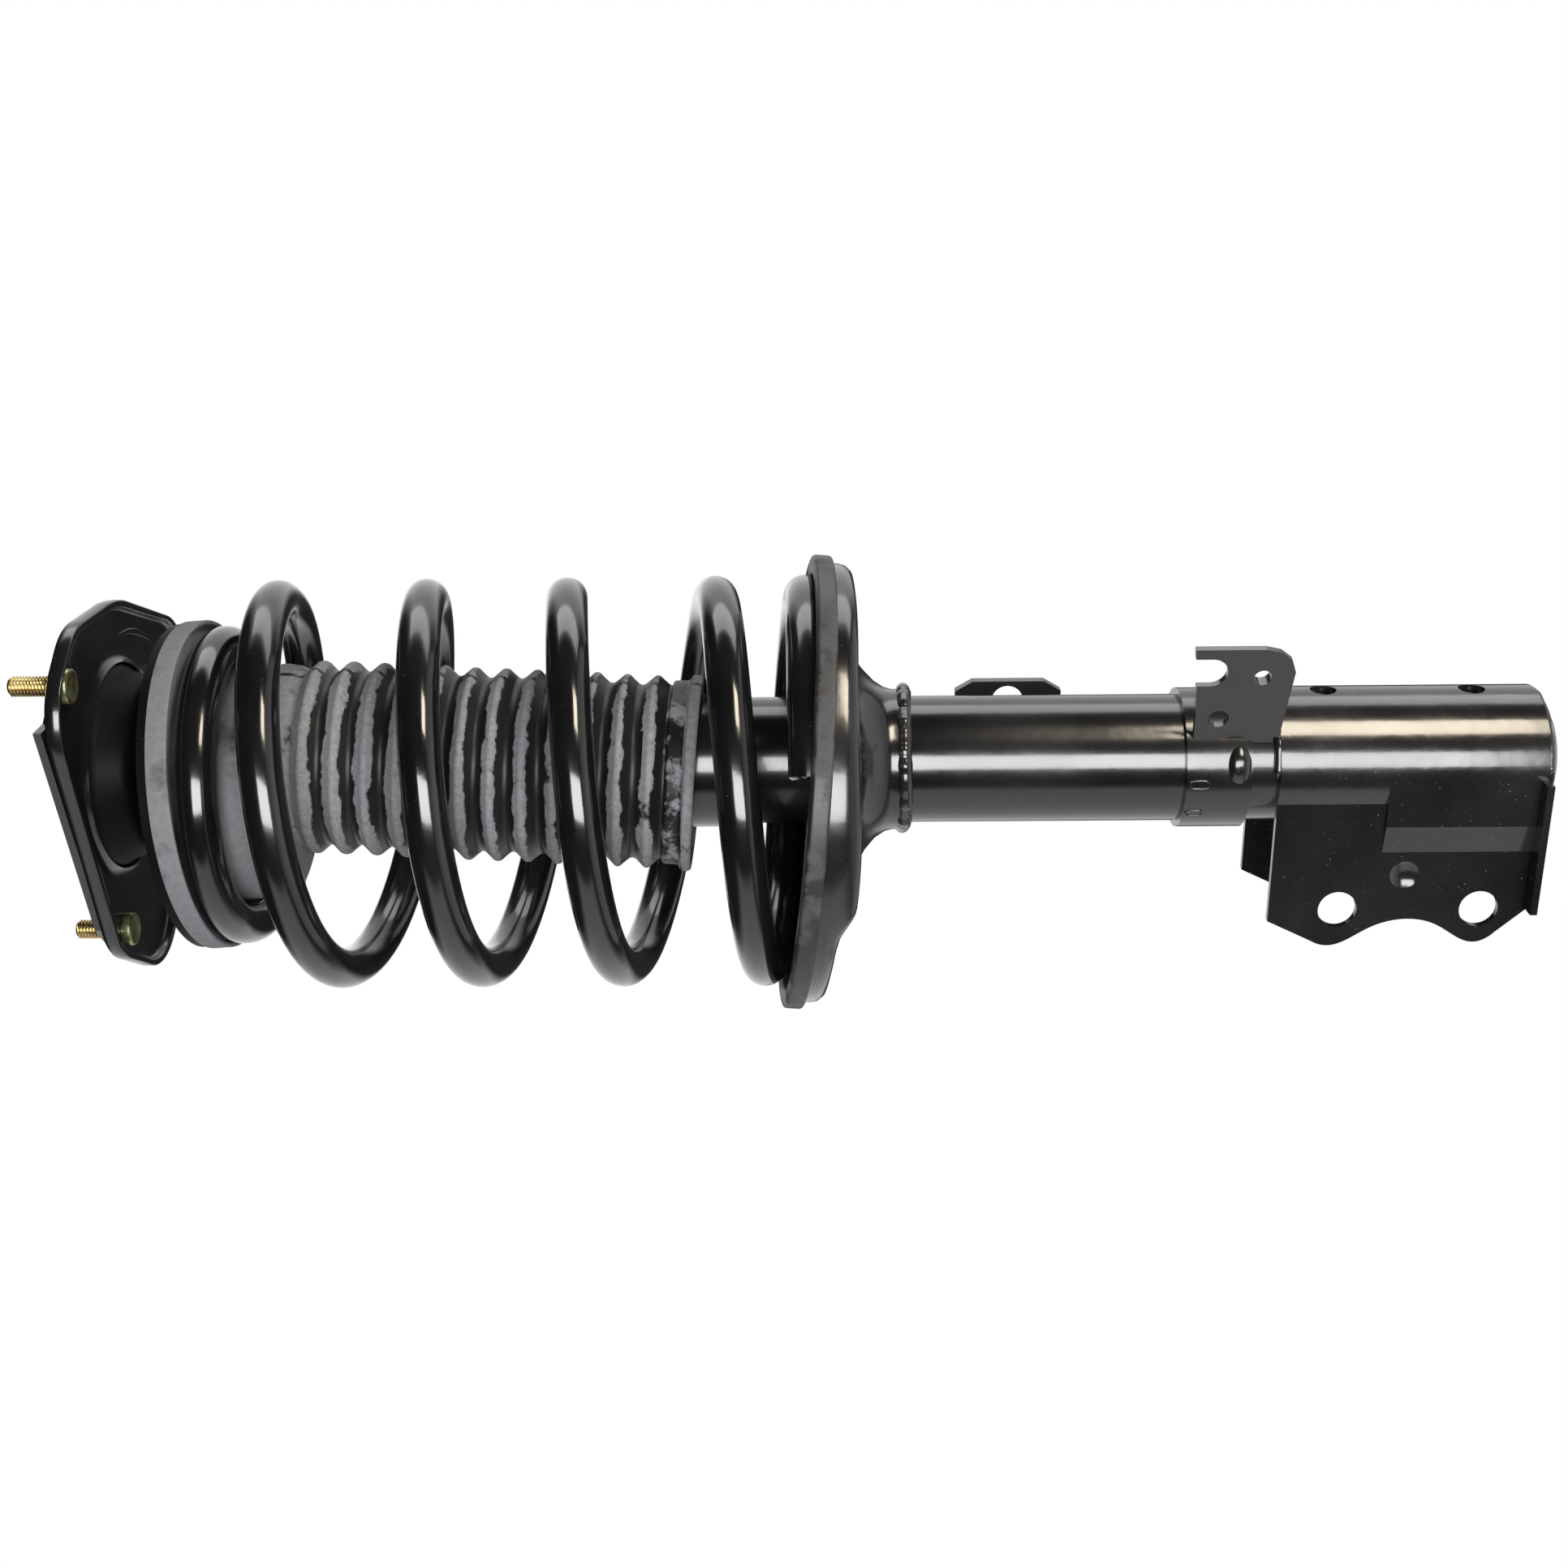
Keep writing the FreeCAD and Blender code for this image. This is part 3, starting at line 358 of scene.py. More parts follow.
WIRE_STEPS = 72                       # rings of the wire's mesh in one turn of the coil
WIRE_SIDES = 28
END_CHAMFER = 1.2
END_INSET = 1.0
COIL_SAMPLE = 0.01                    # turns either side of a point, for the wire's heading


def ease(part):
    part = min(max(part, 0.0), 1.0)
    return part * part * (3.0 - 2.0 * part)


def coil_level(turns):
    """The wire's height after some turns, on a smooth curve through COIL_LEVELS."""
    last = len(COIL_LEVELS) - 1
    here = max(number for number in range(last) if COIL_LEVELS[number][0] <= turns + 1e-9)

    def slope(number):
        before = COIL_LEVELS[max(number - 1, 0)]
        after = COIL_LEVELS[min(number + 1, last)]
        return (after[1] - before[1]) / (after[0] - before[0])

    (start, low), (end, high) = COIL_LEVELS[here], COIL_LEVELS[here + 1]
    span = end - start
    part = (turns - start) / span
    lead = part * (1.0 - part) ** 2 * span * slope(here)
    trail = part * part * (part - 1.0) * span * slope(here + 1)
    return low + (high - low) * ease(part) + lead + trail


def coil_point(turns):
    grow = ease((turns - PIGTAIL_END) / PIGTAIL_OPENING)
    radius = PIGTAIL_RADIUS + (COIL_RADIUS - PIGTAIL_RADIUS) * grow
    return around(180.0 - 360.0 * turns, radius, coil_level(turns)) + Vector((COIL_OFFSET, 0, 0))


def coil_wire(name, body, start, end):
    """Round wire along part of the coil, with square-cut, lightly chamfered ends."""
    turns = end - start
    steps = int(turns * WIRE_STEPS)
    rings = []
    stations = [(0, 0.0), (0, WIRE - END_CHAMFER), (0, WIRE)]
    stations += [(step, WIRE) for step in range(1, steps)]
    stations += [(steps, WIRE), (steps, WIRE - END_CHAMFER), (steps, 0.0)]
    for number, (step, radius) in enumerate(stations):
        place = start + turns * step / steps
        ahead = coil_point(min(place + COIL_SAMPLE, COIL_END))
        ahead -= coil_point(max(place - COIL_SAMPLE, COIL_START))
        ahead.normalize()
        inward = (UP - ahead * UP.dot(ahead)).normalized()
        side = ahead.cross(inward)
        inset = 0.0
        if number == 2 and start == COIL_START:
            inset = END_INSET
        elif number == len(stations) - 3 and end == COIL_END:
            inset = -END_INSET
        centre = coil_point(place) + ahead * inset
        swings = [2 * math.pi * corner / WIRE_SIDES for corner in range(WIRE_SIDES)]
        rings.append([centre + (inward * math.cos(swing) + side * math.sin(swing)) * max(radius, 0.01)
                      for swing in swings])
    points, faces = skin(rings)
    wire = mesh_piece(name, points, faces, body, SPRING_PAINT)
    return wire


SPRING_TOP = -44.8
travel_joint = next(joint for joint in frame["joints"] if joint["name"] == "strut_travel")
TRAVEL = travel_joint["range_m"][1] / MM
spring = coil_wire("spring_wire", "strut_rod", COIL_START, SEATED_TURN)
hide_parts("coil_spring")
1.0 - TRAVEL / (SPRING_TOP - coil_level(SEATED_TURN))
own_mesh(spring)
coil_wire("spring_end_coil", "strut_tube", SEATED_TURN, COIL_END)

# ------------------------------------------------------------------ dust boot
BOOT_TOP = -72.0
BOOT_FIRST_PLEAT = -88.9
BOOT_PITCH = 12.25
BOOT_PLEATS = 12
BOOT_CREST = 39.4
BOOT_VALLEY = 35.2
BOOT_WALL = 1.8
BOOT_DROOP = 3.2
BOOT_HINGE = -81.0
BOOT_RISE = 3.1
SEAM_TURN = 175.5
NECK_SHIFT = 11.5
NECK_LEAN = 0.10
NECK_START = -84.5
NECK_RUN = 12.0                       # height over which the neck takes its shift and lean
PLEAT_TIP = 0.8                       # how far the lowest pleats tip
PLEAT_SKEW = 0.35
PLEAT_WAVE = 0.2
SEAM_HALF_WIDTH = 1.3                 # in degrees
CREST_HALF_WIDTH = 1.2
FLANK_WIDTH = 4.2
UPPER_START = -150.0                  # above here the pleats hold more chalk
UPPER_RUN = 60.0
# how strongly each part of the boot holds chalk; the material adds noise to it
CHALK_CREST = 0.27
CHALK_FALL = 0.45                     # how much less a valley holds than a crest
CHALK_UPPER = 0.14                    # how much more the upper pleats hold
CHALK_NECK = 0.26
CHALK_BEAD = 0.30
CHALK_CUFF = 0.10
CHALK_SEAM = -0.3
CHALK_INSIDE = -0.5


def dust_boot():
    """A pleated sleeve: a flared neck, twelve rounded pleats, a plain cuff and an end bead."""
    outside = [(46.6, BOOT_TOP + 1.0), (47.4, BOOT_TOP - 1.0), (45.8, BOOT_TOP - 4.0), (40.0, -80.0),
               (BOOT_VALLEY + 0.6, -82.8)]
    for pleat in range(BOOT_PLEATS):
        crest = BOOT_FIRST_PLEAT - BOOT_PITCH * pleat
        outside += [(BOOT_VALLEY + 0.4, crest + 4.7), (BOOT_CREST - 1.5, crest + 2.1),
                    (BOOT_CREST - 0.2, crest + 0.8), (BOOT_CREST - 0.2, crest - 0.8),
                    (BOOT_CREST - 1.5, crest - 2.1), (BOOT_VALLEY + 0.3, crest - 4.9),
                    (BOOT_VALLEY, crest - 6.1)]
    cuff = BOOT_FIRST_PLEAT - BOOT_PITCH * BOOT_PLEATS + 5.6
    outside += [(37.3, cuff), (37.5, cuff - 5.6), (38.0, cuff - 6.6), (39.9, cuff - 7.3),
                (40.1, cuff - 10.0), (39.2, cuff - 11.3)]
    inside = [(radius - BOOT_WALL, level) for radius, level in reversed(outside)]
    place = Matrix.Translation(around(90.0, BOOT_RISE, BOOT_HINGE))
    place = place @ Matrix.Rotation(math.radians(-BOOT_DROOP), 4, "Y")
    place = place @ Matrix.Translation((0, 0, -BOOT_HINGE))
    section = rounded(outside, 1.2, 3) + rounded(inside, 1.2, 1)
    middle = (BOOT_TOP + cuff) / 2

    def wobble(point, turn, radius):
        """Hand-pulled pleats: each is a little oval and stands a little skew."""
        skew = PLEAT_SKEW * math.sin(turn * 2 + point.z * 0.05)
        skew += PLEAT_WAVE * math.sin(turn * 3 - point.z * 0.11)
        tip = PLEAT_TIP * math.cos(turn) * min(max((middle - point.z) / 80.0, 0.0), 1.0)
        swell = 1.0 + 0.004 * math.sin(turn * 3 + point.z * 0.2)
        neck = ease((point.z - NECK_START) / NECK_RUN)
        lean = -point.x * NECK_LEAN * neck
        return Vector((point.x * swell + NECK_SHIFT * neck, point.y * swell,
                       point.z + (skew * 0.6 + tip) * (1.0 - neck) + lean))

    boot = turned("dust_boot_rubber", section, "strut_rod", BOOT, place, 144, wobble, 60.0)
    bloom = boot.data.attributes.new("bloom", "FLOAT", "POINT")
    back = place.inverted()
    for vertex, value in zip(boot.data.vertices, bloom.data):
        local = back @ (vertex.co / MM)
        radius = math.hypot(local.x, local.y)
        pleat = round((BOOT_FIRST_PLEAT - local.z) / BOOT_PITCH)
        pleat = min(max(pleat, 0), BOOT_PLEATS - 1)
        away = abs(local.z - BOOT_FIRST_PLEAT + BOOT_PITCH * pleat - 0.7)
        chalk = CHALK_CREST - CHALK_FALL * ease((away - CREST_HALF_WIDTH) / FLANK_WIDTH)
        chalk += CHALK_UPPER * ease((local.z - UPPER_START) / UPPER_RUN)
        if local.z > BOOT_FIRST_PLEAT + 4.0:
            chalk = CHALK_NECK
        elif local.z < cuff - 6.9:
            chalk = CHALK_BEAD
        elif local.z < cuff + 1.0:
            chalk = CHALK_CUFF
        seam = math.degrees(math.atan2(local.y, local.x)) - SEAM_TURN
        if abs((seam + 180.0) % 360.0 - 180.0) < SEAM_HALF_WIDTH:
            chalk = CHALK_SEAM
        wall = radius < BOOT_VALLEY - 1.0 or (away < 3.0 and radius < BOOT_CREST - 2.2)
        value.value = CHALK_INSIDE if wall and local.z < BOOT_FIRST_PLEAT + 4.0 else chalk
    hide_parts("dust_boot")
    return boot


boot = dust_boot()
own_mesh(boot)

# ------------------------------------------------------------------ rubber seats and cushions
insulator = turned("upper_insulator_rubber", closed_rounded([
    (66.8, 0.9, 0.8), (66.8, -7.2, 1.2), (65.0, -7.2, 0.8), (64.2, -3.8, 0.6), (50.5, -3.8, 1.5),
    (48.0, -7.0, 2.0), (47.6, -30.5, 1.5), (45.2, -30.5, 1.0), (45.4, -1.0, 0.5), (66.1, -0.2, 0.2),
    (66.1, 0.9, 0.2)], 0.8), "strut_rod", BLOOMED, SEAT_FRAME, 160)
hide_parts("upper_insulator")

pan_ring = turned("lower_insulator_rubber", closed_rounded([
    (91.9, 8.2, 1.6), (91.9, 1.2, 1.2), (89.1, 1.0, 0.5), (89.1, 6.1, 0.5), (86.1, 6.1, 0.5),
    (86.1, -4.35, 0.5), (58.0, -4.35, 1.0), (58.2, -2.2, 1.2), (64.0, -0.6, 1.5), (83.0, -0.6, 2.0),
    (84.3, 8.9, 1.5), (89.5, 8.9, 1.8)], 0.8), "strut_tube", DARK_RUBBER, PAN_FRAME, 192)
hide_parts("lower_insulator")

cushion = turned("mount_cushion", closed_rounded([
    (22.6, -7.0, 1.0), (22.6, -23.6, 0.8), (25.0, -22.0, 1.0), (31.0, -19.6, 2.0), (32.7, -17.0, 2.0),
    (32.7, -9.5, 2.0), (30.0, -8.5, 2.0), (27.5, -12.5, 2.5), (25.5, -7.5, 1.5)], 1.0),
    "upper_mount", DARK_RUBBER, Matrix(), 96)
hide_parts("mount_rubber")

buffer_foam = turned("bump_stop_foam", closed_rounded([
    (11.5, -44.2, 0.5), (22.5, -44.2, 1.5), (22.8, -60.0, 3.0), (18.8, -64.0, 3.0), (22.8, -68.0, 3.0),
    (22.8, -78.0, 3.0), (18.8, -82.0, 3.0), (20.8, -86.0, 3.0), (18.0, -103.6, 3.0),
    (11.5, -103.6, 1.0)], 1.0), "strut_rod", FOAM, Matrix(), 72)
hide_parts("bump_stop")

# ------------------------------------------------------------------ threaded studs
STUD_RADIUS = 4.0
STUD_CIRCLE = 67.5
STUD_TOP = 13.5
HEAD_TOP = -6.2
HEAD_END = -10.2
HEAD_FLATS = 13.2
THREAD_PITCH = 1.25
THREAD_DEPTH = 0.62
THREAD_START = -2.0
THREAD_CLEARANCE = 0.03               # keeps the thread's crests inside the shaft
STUD_COUNT = 3
FIRST_STUD = 25.4                     # in degrees
THREAD_ROWS = 8                       # rings of the mesh in one turn of thread
STUD_STEPS = 48


def hexagon_ring(centre, flats, level, corner_cut, spin):
    """Points of a hexagon; corner_cut pulls its corners in to a circle, as a chamfer does."""
    ring = []
    for step in range(STUD_STEPS):
        turn = 2 * math.pi * step / STUD_STEPS
        edge = flats / 2 / math.cos((turn + math.pi / 6) % (math.pi / 3) - math.pi / 6)
        radius = min(edge, corner_cut)
        ring.append(centre + Vector((radius * math.cos(turn + spin), radius * math.sin(turn + spin), level)))
    return ring


def stud(number):
    """One hexagon-headed stud with a rolled thread and a chamfered tip."""
    centre = around(FIRST_STUD + 360.0 / STUD_COUNT * number, STUD_CIRCLE)
    spin = math.radians(17.0 + 31.0 * number)
    apex = HEAD_FLATS / 2 + 0.45
    rings = [hexagon_ring(centre, 0.2, HEAD_END + 0.5, 0.1, spin),
             hexagon_ring(centre, 8.0, HEAD_END + 0.5, 3.6, spin),
             hexagon_ring(centre, HEAD_FLATS, HEAD_END, HEAD_FLATS / 2 - 0.7, spin),
             hexagon_ring(centre, HEAD_FLATS, HEAD_END + 0.3, HEAD_FLATS / 2, spin),
             hexagon_ring(centre, HEAD_FLATS, HEAD_END + 0.9, apex, spin),
             hexagon_ring(centre, HEAD_FLATS, HEAD_TOP - 0.3, apex, spin),
             hexagon_ring(centre, HEAD_FLATS - 0.4, HEAD_TOP, apex, spin)]
    level = THREAD_START
    rings.append(hexagon_ring(centre, 2 * STUD_RADIUS, HEAD_TOP, STUD_RADIUS - 0.1, spin))
    while level < STUD_TOP - 0.9:
        ring = []
        for step in range(STUD_STEPS):
            turn = 2 * math.pi * step / STUD_STEPS
            phase = (level / THREAD_PITCH - step / STUD_STEPS) % 1.0
            depth = THREAD_DEPTH * (1.0 - abs(2 * phase - 1.0))
            radius = STUD_RADIUS - THREAD_CLEARANCE - depth
            ring.append(centre + Vector((radius * math.cos(turn), radius * math.sin(turn), level)))
        rings.append(ring)
        level += THREAD_PITCH / THREAD_ROWS
    rings += [hexagon_ring(centre, 9.0, STUD_TOP - 0.6, STUD_RADIUS - 0.7, spin),
              hexagon_ring(centre, 9.0, STUD_TOP, STUD_RADIUS - 1.2, spin),
              hexagon_ring(centre, 9.0, STUD_TOP, 0.02, spin)]
    return skin(rings)


stud_points, stud_faces = [], []
for number in range(STUD_COUNT):
    points, faces = stud(number)
    first = len(stud_points)
    stud_points += points
    stud_faces += [tuple(first + corner for corner in face) for face in faces]
studs = mesh_piece("mount_stud_bolts", stud_points, stud_faces, "upper_mount", ZINC, 28.0)
studs.data.materials.append(HEAD_ZINC)
for face in studs.data.polygons:
    face.material_index = int(face.center.z < (HEAD_TOP + 0.1) * MM)
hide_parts("mount_studs")

# ------------------------------------------------------------------ pressed mount plate
ARC_STEPS = 32
# the circles, as (centre, radius), that a belt drawn round them turns into the plate's outline
LOBES = [(around(24.0, 45.5), 30.0), (around(36.4, 47.2), 28.0), (around(90.0, 2.0), 65.0),
         (around(142.8, 62.8), 27.5), (around(-121.3, 65.5), 29.0), (around(-98.6, 53.6), 27.0)]


def belt_points():
    """Points along the belt round LOBES: arcs sampled finely, straight runs between them."""
    normals = []
    for (here, radius), (there, other) in zip(LOBES, LOBES[1:] + LOBES[:1]):
        apart = there - here
        heading = math.atan2(apart.y, apart.x)
        normals.append(heading - math.pi / 2 + math.asin((radius - other) / apart.length))
    points = []
    for number, (centre, radius) in enumerate(LOBES):
        start = normals[number - 1]
        sweep = (normals[number] - start) % (2 * math.pi)
        for step in range(ARC_STEPS + 1):
            turn = start + sweep * step / ARC_STEPS
            points.append(centre + Vector((radius * math.cos(turn), radius * math.sin(turn), 0)))
    return points


BELT = belt_points()


def plate_reach(angle):
    """How far the plate's outline is from the axis at a model angle, in radians."""
    ray = Vector((math.cos(angle), math.sin(angle), 0))
    side = Vector((-ray.y, ray.x, 0))
    reach = 0.0
    for here, there in zip(BELT, BELT[1:] + BELT[:1]):
        low, high = here.dot(side), there.dot(side)
        if (low <= 0) == (high <= 0):
            continue
        part = low / (low - high)
        reach = max(reach, here.lerp(there, part).dot(ray))
    return reach


PLATE_COUNT = 240
PLATE_TOP = -3.0
PLATE_FLOOR = -6.2
LIP_END = -9.3
BOSS_RADIUS = 42.0
reaches = [plate_reach(2 * math.pi * step / PLATE_COUNT) for step in range(PLATE_COUNT)]


def plate_ring(inset, level, boss=0.0):
    """A ring inside the outline; boss slides it from the outline (0) to the boss's circle (1)."""
    ring = []
    for step, reach in enumerate(reaches):
        turn = 2 * math.pi * step / PLATE_COUNT
        edge = reach - inset
        radius = edge * (1.0 - boss) + min(BOSS_RADIUS, edge - 1.0) * boss
        ring.append(Vector((radius * math.cos(turn), radius * math.sin(turn), level)))
    return ring


def mount_plate():
    """The lower plate: outer wall and rolled lip, a filleted floor, and a dished fall to the boss."""
    rings = [plate_ring(3.0, PLATE_TOP, 1.0), plate_ring(3.0, PLATE_TOP, 0.5), plate_ring(3.0, PLATE_TOP),
             plate_ring(1.0, PLATE_TOP - 0.25), plate_ring(0.3, PLATE_TOP - 0.9),
             plate_ring(0.0, PLATE_TOP - 2.0), plate_ring(0.0, LIP_END + 0.5),
             plate_ring(0.5, LIP_END), plate_ring(2.6, LIP_END), plate_ring(3.1, LIP_END + 0.5),
             plate_ring(3.4, PLATE_FLOOR - 1.6), plate_ring(4.0, PLATE_FLOOR - 0.6),
             plate_ring(5.2, PLATE_FLOOR), plate_ring(5.2, PLATE_FLOOR, 0.3),
             plate_ring(5.2, PLATE_FLOOR, 0.6), plate_ring(5.2, PLATE_FLOOR - 0.1, 0.8),
             plate_ring(5.2, PLATE_FLOOR - 0.9, 0.92), plate_ring(5.2, PLATE_FLOOR - 2.6, 1.0),
             plate_ring(5.2, PLATE_TOP - 3.0, 1.03)]
    points, faces = skin(rings, closed=True)
    plate = mesh_piece("mount_plate_pressing", points, faces, "upper_mount", E_COAT, 50.0)
    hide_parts("mount_plate")


mount_plate()
cup = turned("mount_cup_pressing", closed_rounded([
    (36.2, -3.2, 0.5), (33.2, -3.2, 0.8), (32.9, -18.8, 2.0), (25.2, -21.2, 1.0), (25.2, -23.4, 0.8),
    (35.4, -21.6, 3.0), (39.0, -9.6, 3.0), (42.3, -6.5, 1.5), (36.2, -6.1, 0.5)], 1.0),
    "upper_mount", DULL_COAT, Matrix(), 160)
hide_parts("mount_cup")


CRESCENT_NEAR = 2.8
CRESCENT_LENGTH = 43.0
CRESCENT_LEVEL = 52.5
CRESCENT_BOW = 3.4
CRESCENT_HALF_WIDTH = 1.5
CRESCENT_RISE = 0.9
CRESCENT_STEPS = 24
CRESCENT_SIDES = 9


def embossed_crescent():
    """The shallow raised crescent pressed into the plate's floor."""
    rings = []
    for step in range(CRESCENT_STEPS + 1):
        part = step / CRESCENT_STEPS
        wide = CRESCENT_HALF_WIDTH * math.sin(math.pi * part) + 0.02
        rise = CRESCENT_RISE * math.sin(math.pi * part)
        middle = CRESCENT_LEVEL + CRESCENT_BOW * (1.0 - (2 * part - 1) ** 2)
        ring = []
        for side in range(CRESCENT_SIDES + 1):
            swing = math.pi * side / CRESCENT_SIDES
            spot = TO_VIEWER * (CRESCENT_NEAR - CRESCENT_LENGTH * part)
            spot += PICTURE_UP * (middle + wide * math.cos(swing))
            spot.z = PLATE_FLOOR + 0.03 - rise * math.sin(swing)
            ring.append(spot)
        rings.append(ring)
    points, faces = skin(rings)
    mesh_piece("plate_crescent", points, faces, "upper_mount", E_COAT)


embossed_crescent()

# ------------------------------------------------------------------ lower spring seat pan
PAN_STEP = 5.5                        # how far the low side of the pan is pressed outwards
PAN_COUNT = 192
STEP_START = -50.0                    # where the step begins, towards the low side
STEP_RUN = 95.0
CORNER_START = 46.0                   # where its rounded corner begins
CORNER_RUN = 16.0


def pan_point(turn, radius, height, straight):
    """A point on the pan's own tilted axis (0), on the strut's axis (1), or between."""
    flat = Vector((radius * math.cos(turn), radius * math.sin(turn), 0))
    tilted = PAN_FRAME @ (flat + Vector((0, 0, height)))
    upright = flat + Vector((0, 0, height + PAN_CENTRE.z))
    return tilted.lerp(upright, straight)


def lower_seat():
    """The pan: rolled rim, flat outer floor, and a smooth draw down to the neck round the tube."""
    outer = [(89.0, 5.8, 0), (89.0, -2.0, 0), (88.4, -4.6, 0), (86.6, -6.6, 0), (83.5, -7.3, 0),
             (72.0, -7.6, 0), (60.0, -8.6, 0.15), (50.0, -11.4, 0.45), (42.0, -15.2, 0.8),
             (36.0, -19.2, 0.97), (31.8, -23.0, 1), (29.2, -27.0, 1), (28.4, -30.0, 1), (28.3, -34.7, 1)]
    inner = [(25.6, -34.7, 1), (25.6, -29.0, 1), (28.0, -22.6, 1), (33.0, -17.6, 0.97),
             (39.5, -13.0, 0.8), (48.5, -8.8, 0.45), (59.5, -5.8, 0.15), (72.0, -4.75, 0),
             (82.5, -4.5, 0), (84.8, -3.9, 0), (86.1, -2.4, 0), (86.2, 5.8, 0)]
    rings = []
    for radius, height, straight in outer + inner:
        ring = []
        for step in range(PAN_COUNT):
            turn = 2 * math.pi * step / PAN_COUNT
            flat = Vector((radius * math.cos(turn), radius * math.sin(turn), 0))
            low_side = -PICTURE_UP.dot(flat)
            bulge = ease((low_side - STEP_START) / STEP_RUN)
            bulge *= 1.0 - ease((low_side - CORNER_START) / CORNER_RUN)
            bulge *= ease((radius - 44.0) / 10.0) * ease((radius - 20.0) / 10.0) * (height < -4.0)
            ring.append(pan_point(turn, radius, height - PAN_STEP * bulge, straight))
        rings.append(ring)
    points, faces = skin(rings, closed=True)
    pan = mesh_piece("lower_seat_pressing", points, faces, "strut_tube", E_COAT, 45.0)
    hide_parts("lower_spring_seat")


lower_seat()


# ------------------------------------------------------------------ weld beads
BEAD_STEP = 1.5                       # in degrees
BEAD_SIDES = 14
RIPPLE_DEPTH = 0.16
RIPPLE_RATE = 0.42
UNEVENNESS = 0.5
WANDER = 0.25                         # how far the bead wanders up and down

SEAT_WELD_LEVEL = -324.6
SEAT_WELD_SIZE = 2.9
BRACKET_WELD_START = 92.0
BRACKET_WELD_SWEEP = 176.0


def bead(name, radius, level, width, height, start, sweep, seed):
    """A rippled weld bead round the tube over part of a turn."""
    count = int(sweep / BEAD_STEP)
    rings = []
    for step in range(count + 1):
        turn = math.radians(start + sweep * step / count)
        ripple = RIPPLE_DEPTH * abs(math.sin(step * RIPPLE_RATE))
        ripple += UNEVENNESS * noise.noise(Vector((step * 0.13, seed, 0)))
        taper = min(1.0, step / 4 + 0.05, (count - step) / 4 + 0.05) if sweep < 360 else 1.0
        ring = []
        for side in range(BEAD_SIDES):
            swing = 2 * math.pi * side / BEAD_SIDES
            bulge = 1.0 + ripple * (0.5 + 0.5 * math.cos(swing))
            out = radius + height * math.cos(swing) * bulge * taper
            up = level + width * math.sin(swing) * (1.0 + 0.3 * ripple) * taper
            up += WANDER * math.sin(step * 0.07 + seed)
            ring.append(Vector((out * math.cos(turn), out * math.sin(turn), up)))
        rings.append(ring)
    if sweep >= 360:
        rings.pop()
    points, faces = skin(rings, closed=sweep >= 360)
    weld = mesh_piece(name, points, faces, "strut_tube", WELD_PAINT, 80.0)
    return weld


ring_weld = bead("seat_weld_bead", TUBE_RADIUS + 1.4, SEAT_WELD_LEVEL, SEAT_WELD_SIZE, SEAT_WELD_SIZE,
                 0.0, 360.0, 1.7)
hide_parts("seat_weld")
top_weld = bead("bracket_weld_top", TUBE_RADIUS + 1.0, BRACKET_TOP + 0.6, 1.7, 1.6,
                BRACKET_WELD_START, BRACKET_WELD_SWEEP, 3.1)
bead("bracket_weld_end", TUBE_RADIUS + 0.6, BRACKET_END - 0.4, 1.7, 1.6,
     BRACKET_WELD_START, BRACKET_WELD_SWEEP, 5.3)
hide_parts("bracket_weld")

# ------------------------------------------------------------------ pressed details
BAND_RADIUS = 28.1
DOME_STEPS = 36


def dome(name, centre, outward, along, half_long, half_wide, height, bend, body, material):
    """A closed low bump on a surface that bends with a given radius across its length."""
    side = outward.cross(along).normalized()
    rings = []
    for reach, level in ((0.01, -0.8), (1.0, -0.8), (1.0, -0.1), (0.95, 0.10), (0.85, 0.32), (0.7, 0.60),
                         (0.5, 0.82), (0.3, 0.95), (0.01, 1.0)):
        ring = []
        for step in range(DOME_STEPS):
            turn = 2 * math.pi * step / DOME_STEPS
            across = half_wide * reach * math.sin(turn)
            rise = height * level if level > 0 else level
            ring.append(centre + along * (half_long * reach * math.cos(turn)) + side * across
                        + outward * (rise - across * across / (2 * bend)))
        rings.append(ring)
    points, faces = skin(rings)
    return mesh_piece(name, points, faces, body, material, 60.0)


SLOT_STEPS = 40
SLOT_SQUARENESS = 0.6                 # 1 gives an ellipse, and less gives squarer ends
SLOT_RIM = 0.42
SLOT_RIM_SIDES = 10


def slot_rim(name, angle, level, half_long, half_high):
    """The raised rim of a slot embossed in the hose band."""
    path = []
    for step in range(SLOT_STEPS):
        turn = 2 * math.pi * step / SLOT_STEPS
        run = half_long * math.copysign(abs(math.cos(turn)) ** SLOT_SQUARENESS, math.cos(turn))
        lift = half_high * math.copysign(abs(math.sin(turn)) ** SLOT_SQUARENESS, math.sin(turn))
        path.append(around(angle + math.degrees(lift / BAND_RADIUS), BAND_RADIUS, level + run))
    rings = []
    for number, spot in enumerate(path):
        ahead = (path[(number + 1) % SLOT_STEPS] - path[number - 1]).normalized()
        outward = Vector((spot.x, spot.y, 0)).normalized()
        side = ahead.cross(outward).normalized()
        swings = [2 * math.pi * corner / SLOT_RIM_SIDES for corner in range(SLOT_RIM_SIDES)]
        rings.append([spot + outward * (SLOT_RIM * math.cos(swing)) + side * (SLOT_RIM * math.sin(swing))
                      for swing in swings])
    points, faces = skin(rings, closed=True)
    return mesh_piece(name, points, faces, "strut_tube", E_COAT, 80.0)


slot_rim("band_slot_upper", -24.0, -439.6, 3.8, 1.7)
slot_rim("band_slot_lower", -53.0, -438.8, 3.3, 1.5)
FOLD_ANGLE = -8.0
FOLD_LEVEL = -455.0
dome("band_fold", around(FOLD_ANGLE, BAND_RADIUS, FOLD_LEVEL), around(FOLD_ANGLE, 1.0), UP, 4.6, 7.5, 2.0,
     BAND_RADIUS, "strut_tube", E_COAT)

